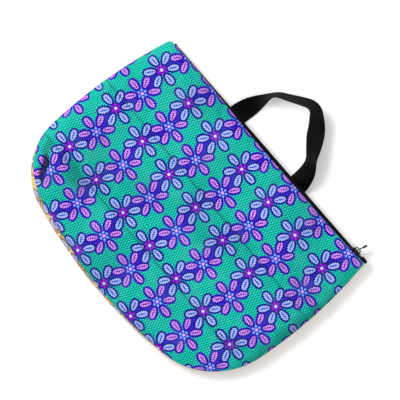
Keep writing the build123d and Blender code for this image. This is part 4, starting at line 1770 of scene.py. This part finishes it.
@dataclass
class Zip:
    """Zip fastener in the mouth: two tapes, two coils of nylon, stops and the folded end tab."""

    maker: Maker
    panels: Panels
    opening: Opening
    tape: Pair
    coil: Pair
    slider_x: float
    level: float = 11.4
    travel: float = 307.5
    pitch: float = 1.5
    wire: float = 0.34
    tape_half: float = 0.3
    coil_middle: float = 1.2
    coil_half: float = 1.1
    coil_out: float = 1.6
    coil_deep: float = 0.54

    def tape_shape(self, side: int) -> Shape:
        """One tape, from its coil to where it goes under the hem.

        Args:
            side: 1 for the front tape, -1 for the back one.
        Returns:
            The shape, with weave coordinates.
        """
        plan = self.panels.net.plan
        rings, weave = [], []
        for x in np.arange(self.tape[0], self.tape[1] + 0.1, 2.4):
            at = np.array([x])
            edge = float(plan.edge_y(at)[0])
            if side > 0:
                hem = float(ramp(at, self.panels.hem_front)[0])
            else:
                hem = self.level - float(self.panels.hem_back(at)[0]) - 0.6
            bulge = 1 - float(smooth(np.array(1 - (abs(x - self.slider_x) - 7.0) / 9.0)))
            bulge *= 1 + 0.35 * math.sin(x / 11.0) * math.sin(x / 27.0 + 1)
            out = plan.mouth + 0.35
            under = min(edge - 0.35, out)
            stops = np.array(
                [
                    (min(edge - 2.2, out - 1.0), hem + 1.1),
                    (under, hem + 0.2 if bulge < 0.5 else hem - 0.3),
                    (out + 0.55 * bulge, hem * (0.97 - 0.25 * bulge)),
                    (out + 0.35 * bulge, min(2.9, hem * 0.6)),
                    (out, 0.7),
                ]
            )
            line = resample(spline(stops, 0.3), 9)
            tangent = np.gradient(line, axis=0)
            normal = unit(np.stack([-tangent[:, 1], tangent[:, 0]], 1)) * self.tape_half
            ring = np.vstack([line + normal, (line - normal)[::-1]])
            rings.append(np.c_[np.full(len(ring), x), ring[:, 0], self.level + side * ring[:, 1]])
            spread = np.linspace(-4.5, 4.5, 9)
            weave.append([(a, x, 0) for a in (*spread, *spread[::-1])])
        shape = sweep(np.array(rings), np.array(weave))
        if side < 0:
            shape.faces = [f[::-1] for f in shape.faces]
        return shape

    def coil_shape(self, side: int) -> Shape:
        """One row of coil turns, half a turn out of step, and kept apart where the slider stops."""
        steps = 12
        shift = self.pitch / 2 if side < 0 else 0.0
        turns = int((self.coil[1] - self.coil[0] - shift) / self.pitch)
        angle = np.linspace(0, TAU * turns, turns * steps + 1)
        x = self.coil[0] + shift + angle / TAU * self.pitch
        stops = (self.slider_x, self.slider_x - self.travel)
        apart = np.maximum(*(smooth(1 - (np.abs(x - at) - 6.5) / 4.0) for at in stops))
        swing = (self.coil_half - 0.36 * apart) * np.cos(angle)
        z = self.level + side * (self.coil_middle + 0.7 * apart - swing)
        y = self.panels.net.plan.mouth + self.coil_out + self.coil_deep * np.sin(angle)
        line = np.stack([x, y, z], 1)
        along = unit(np.gradient(line, axis=0))
        a = unit(np.cross(along, np.array([1.0, 0, 0])))
        b = np.cross(along, a)
        rings = [line + self.wire * (math.cos(t) * a + math.sin(t) * b) for t in around(6)]
        return sweep(np.stack(rings, 1))

    def clamp(self, low: Points, high: Points) -> Shape:
        """A pressed metal clamp over the tape, with rolled edges, in a CAD stop's box."""
        middle, half = (low + high) / 2, (high - low) / 2
        y = self.panels.net.plan.mouth + 0.7 + half[1]
        turn = around(16)
        rings = []
        for t in np.linspace(0, 1, 9):
            ease = 1 - (abs(2 * t - 1)) ** 4 * 0.35
            zz = middle[2] + half[2] * ease * boxy(np.cos(turn), 0.5)
            yy = y + half[1] * ease * boxy(np.sin(turn), 0.5)
            rings.append(np.stack([np.full(16, low[0] + (high[0] - low[0]) * t), yy, zz], 1))
        return sweep(np.array(rings))

    def tab_shape(self) -> Shape:
        """The fabric folded over the tape ends, with its soft fold to the outside."""
        low, high = node_box("zip_end_tab")
        turn = around(32)
        c, s = np.cos(turn), np.sin(turn)
        rings, weave = [], []
        for t in np.linspace(0, 1, 13):
            x = low[0] - 0.3 + (high[0] + 2.3 - low[0]) * t
            sag = 0.25 * math.sin(9 * t + 1)
            ease = 1 - 0.25 * (1 - t) ** 6 - 0.45 * t**5
            zz = self.level + (6.3 * ease**0.4 + sag) * boxy(c, 0.45)
            yy = low[1] + 2.2 + (2.4 * ease + 0.12 * np.sin(zz * 1.9)) * boxy(s, 0.55)
            rings.append(np.stack([np.full(32, x), yy, zz], 1))
            weave.append(np.stack([zz - self.level, np.full(32, x), np.zeros(32)], 1))
        return sweep(np.array(rings), np.array(weave))

    def build(self) -> None:
        """Make the zip's woven, coiled and pressed pieces."""
        make = self.maker
        for side, name in ((1, "front"), (-1, "back")):
            tape = make.mesh(f"tape_{name}", self.tape_shape(side), Finish.ZIP_TAPE)
            coil = make.mesh(f"coil_{name}", self.coil_shape(side), Finish.ZIP_COIL)
            shape = self.clamp(*node_box(f"zip_top_stop_{name}"))
            stop = make.mesh(f"top_stop_{name}", shape, Finish.BLACK_METAL)
            for made in (tape, coil, stop):
                if side > 0:
                    self.opening.part(made, "zip_" + made.name)
                else:
                    make.rides(made, "back", "zip_" + made.name)
        tab = make.mesh("end_tab", self.tab_shape(), Finish.END_TAB)
        make.smoother(tab)
        make.rides(tab, "back", "zip_end_tab")


@dataclass
class Binding:
    """Woven binding over the raw seam inside the cavity, in three lengths."""

    maker: Maker
    panels: Panels
    inset: float = 6.4
    width: float = 7.5
    thick: float = 0.7

    def build(self) -> None:
        """Make the three lengths."""
        net = self.panels.net
        third = [0, sum(net.counts) - 2, len(net.rim_s) - sum(net.counts) + 2, len(net.rim_s)]
        for name, a, b in zip(("left", "bottom", "right"), third, third[1:]):
            xy = net.rim_xy[a:b] + net.inward[a:b] * self.inset
            z = self.panels.seam(xy[:, 1]) - 0.2
            line = np.c_[xy, z]
            up = np.c_[net.inward[a:b], np.zeros(b - a)]
            side = np.tile(UP, (b - a, 1))
            shape = band(line, side, up, self.width / 2, self.thick, 7)
            made = self.maker.mesh(f"binding_{name}", shape, Finish.BINDING)
            self.maker.smoother(made)
            self.maker.rides(made, "back", f"seam_binding_{name}")


@dataclass
class Studio:
    """Pale floor, soft light and the camera straight over the sleeve."""

    turn: float = 49.0
    aim: Pair = (-4.0, 30.8)
    span: float = 462.0
    lens: float = 180.0
    sensor: float = 36.0

    def build(self) -> None:
        """Set up floor, lights and camera."""
        self.floor()
        self.lights()
        away = self.span * self.lens / self.sensor
        data = bpy.data.cameras.new("camera")
        data.lens, data.sensor_width = self.lens, self.sensor
        data.clip_start, data.clip_end = 0.05, 20.0
        camera = add_object("camera", data)
        camera.location = (self.aim[0] * MM, self.aim[1] * MM, away * MM)
        camera.rotation_euler = (0.0, 0.0, math.radians(self.turn))
        bpy.context.scene.camera = camera
        bpy.context.scene.view_settings.view_transform = "Standard"

    def floor(self) -> None:
        """A plain pale floor."""
        p = Paint("floor_paper")
        x, y, z = p.object_place()
        grain = p.noise(x, y, z, 1.6, 3.0)
        tone = p.mix(grain * 0.3, (0.93, 0.93, 0.93, 1.0), (0.9, 0.9, 0.9, 1.0))
        paper = p.finish({"Base Color": tone, "Roughness": 0.9, "Normal": p.bump(grain, 0.05, 0.3)})
        size, steps = 1.6, 24
        shape = bmesh.new()
        bmesh.ops.create_grid(shape, x_segments=steps, y_segments=steps, size=size)
        data = bpy.data.meshes.new("floor")
        shape.to_mesh(data)
        shape.free()
        floor = add_object("floor", data)
        data.materials.append(paper)
        floor.location.z = -0.0002

    def lights(self) -> None:
        """Wide soft light from above, with a stronger soft one from the left end."""
        world = bpy.data.worlds.new("studio")
        world.use_nodes = True
        shade = world.node_tree.nodes["Background"]
        shade.inputs["Color"].default_value = (1.0, 1.0, 1.0, 1.0)
        shade.inputs["Strength"].default_value = 0.74
        bpy.context.scene.world = world
        for name, place, size, power in (
            ("key", (-1.55, -0.15, 1.6), 1.0, 38.0),
            ("fill", (0.9, 0.7, 2.1), 1.6, 10.0),
        ):
            data = bpy.data.lights.new(name, "AREA")
            data.shape, data.size, data.energy = "SQUARE", size, power
            lamp = add_object(name, data)
            lamp.location = place
            lamp.rotation_euler = Vector(place).to_track_quat("Z", "Y").to_euler()


def main() -> None:
    """Build the sleeve around its frame."""
    logging.basicConfig(level=logging.INFO, format="%(message)s")
    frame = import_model()
    wardrobe = Wardrobe()
    maker = Maker(wardrobe)
    low, high = node_box("back_cover")
    plan = Plan(left=low[0], right=high[0], bottom=low[1], mouth=high[1])
    zip_parts = ("zip_tape_front", "zip_coil_front")
    tape, coil = (tuple(corner[0] for corner in node_box(name)) for name in zip_parts)
    slider = sum(corner.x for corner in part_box("slider_body")) / 2 / MM
    past_slider, past_tape = 12.2, 8.1
    opening = Opening(coil[0] + past_slider, tape[1] + past_tape)
    panels = Panels(maker, PanelNet(plan), opening, top=node_box("front_cover")[1][2])
    trees = panels.build()
    Stitching(maker, opening).build(*trees)
    Handle(maker, plan.mouth).build()
    Zip(maker, panels, opening, tape, coil, slider).build()
    Binding(maker, panels).build()
    for name, finish in (
        ("zip_bottom_stop", Finish.BLACK_METAL),
        ("slider_body", Finish.BLACK_METAL),
        ("slider_bridge", Finish.BLACK_METAL),
        ("pull_tab", Finish.BLACK_METAL),
        ("pull_grip", Finish.PULL_GRIP),
    ):
        kept = frame["nodes"][name]
        for place in kept.material_slots:
            place.material = wardrobe.get(finish)
        log.info("%s keeps its CAD shape", name)
    Studio().build()


if __name__ == "__main__":
    main()
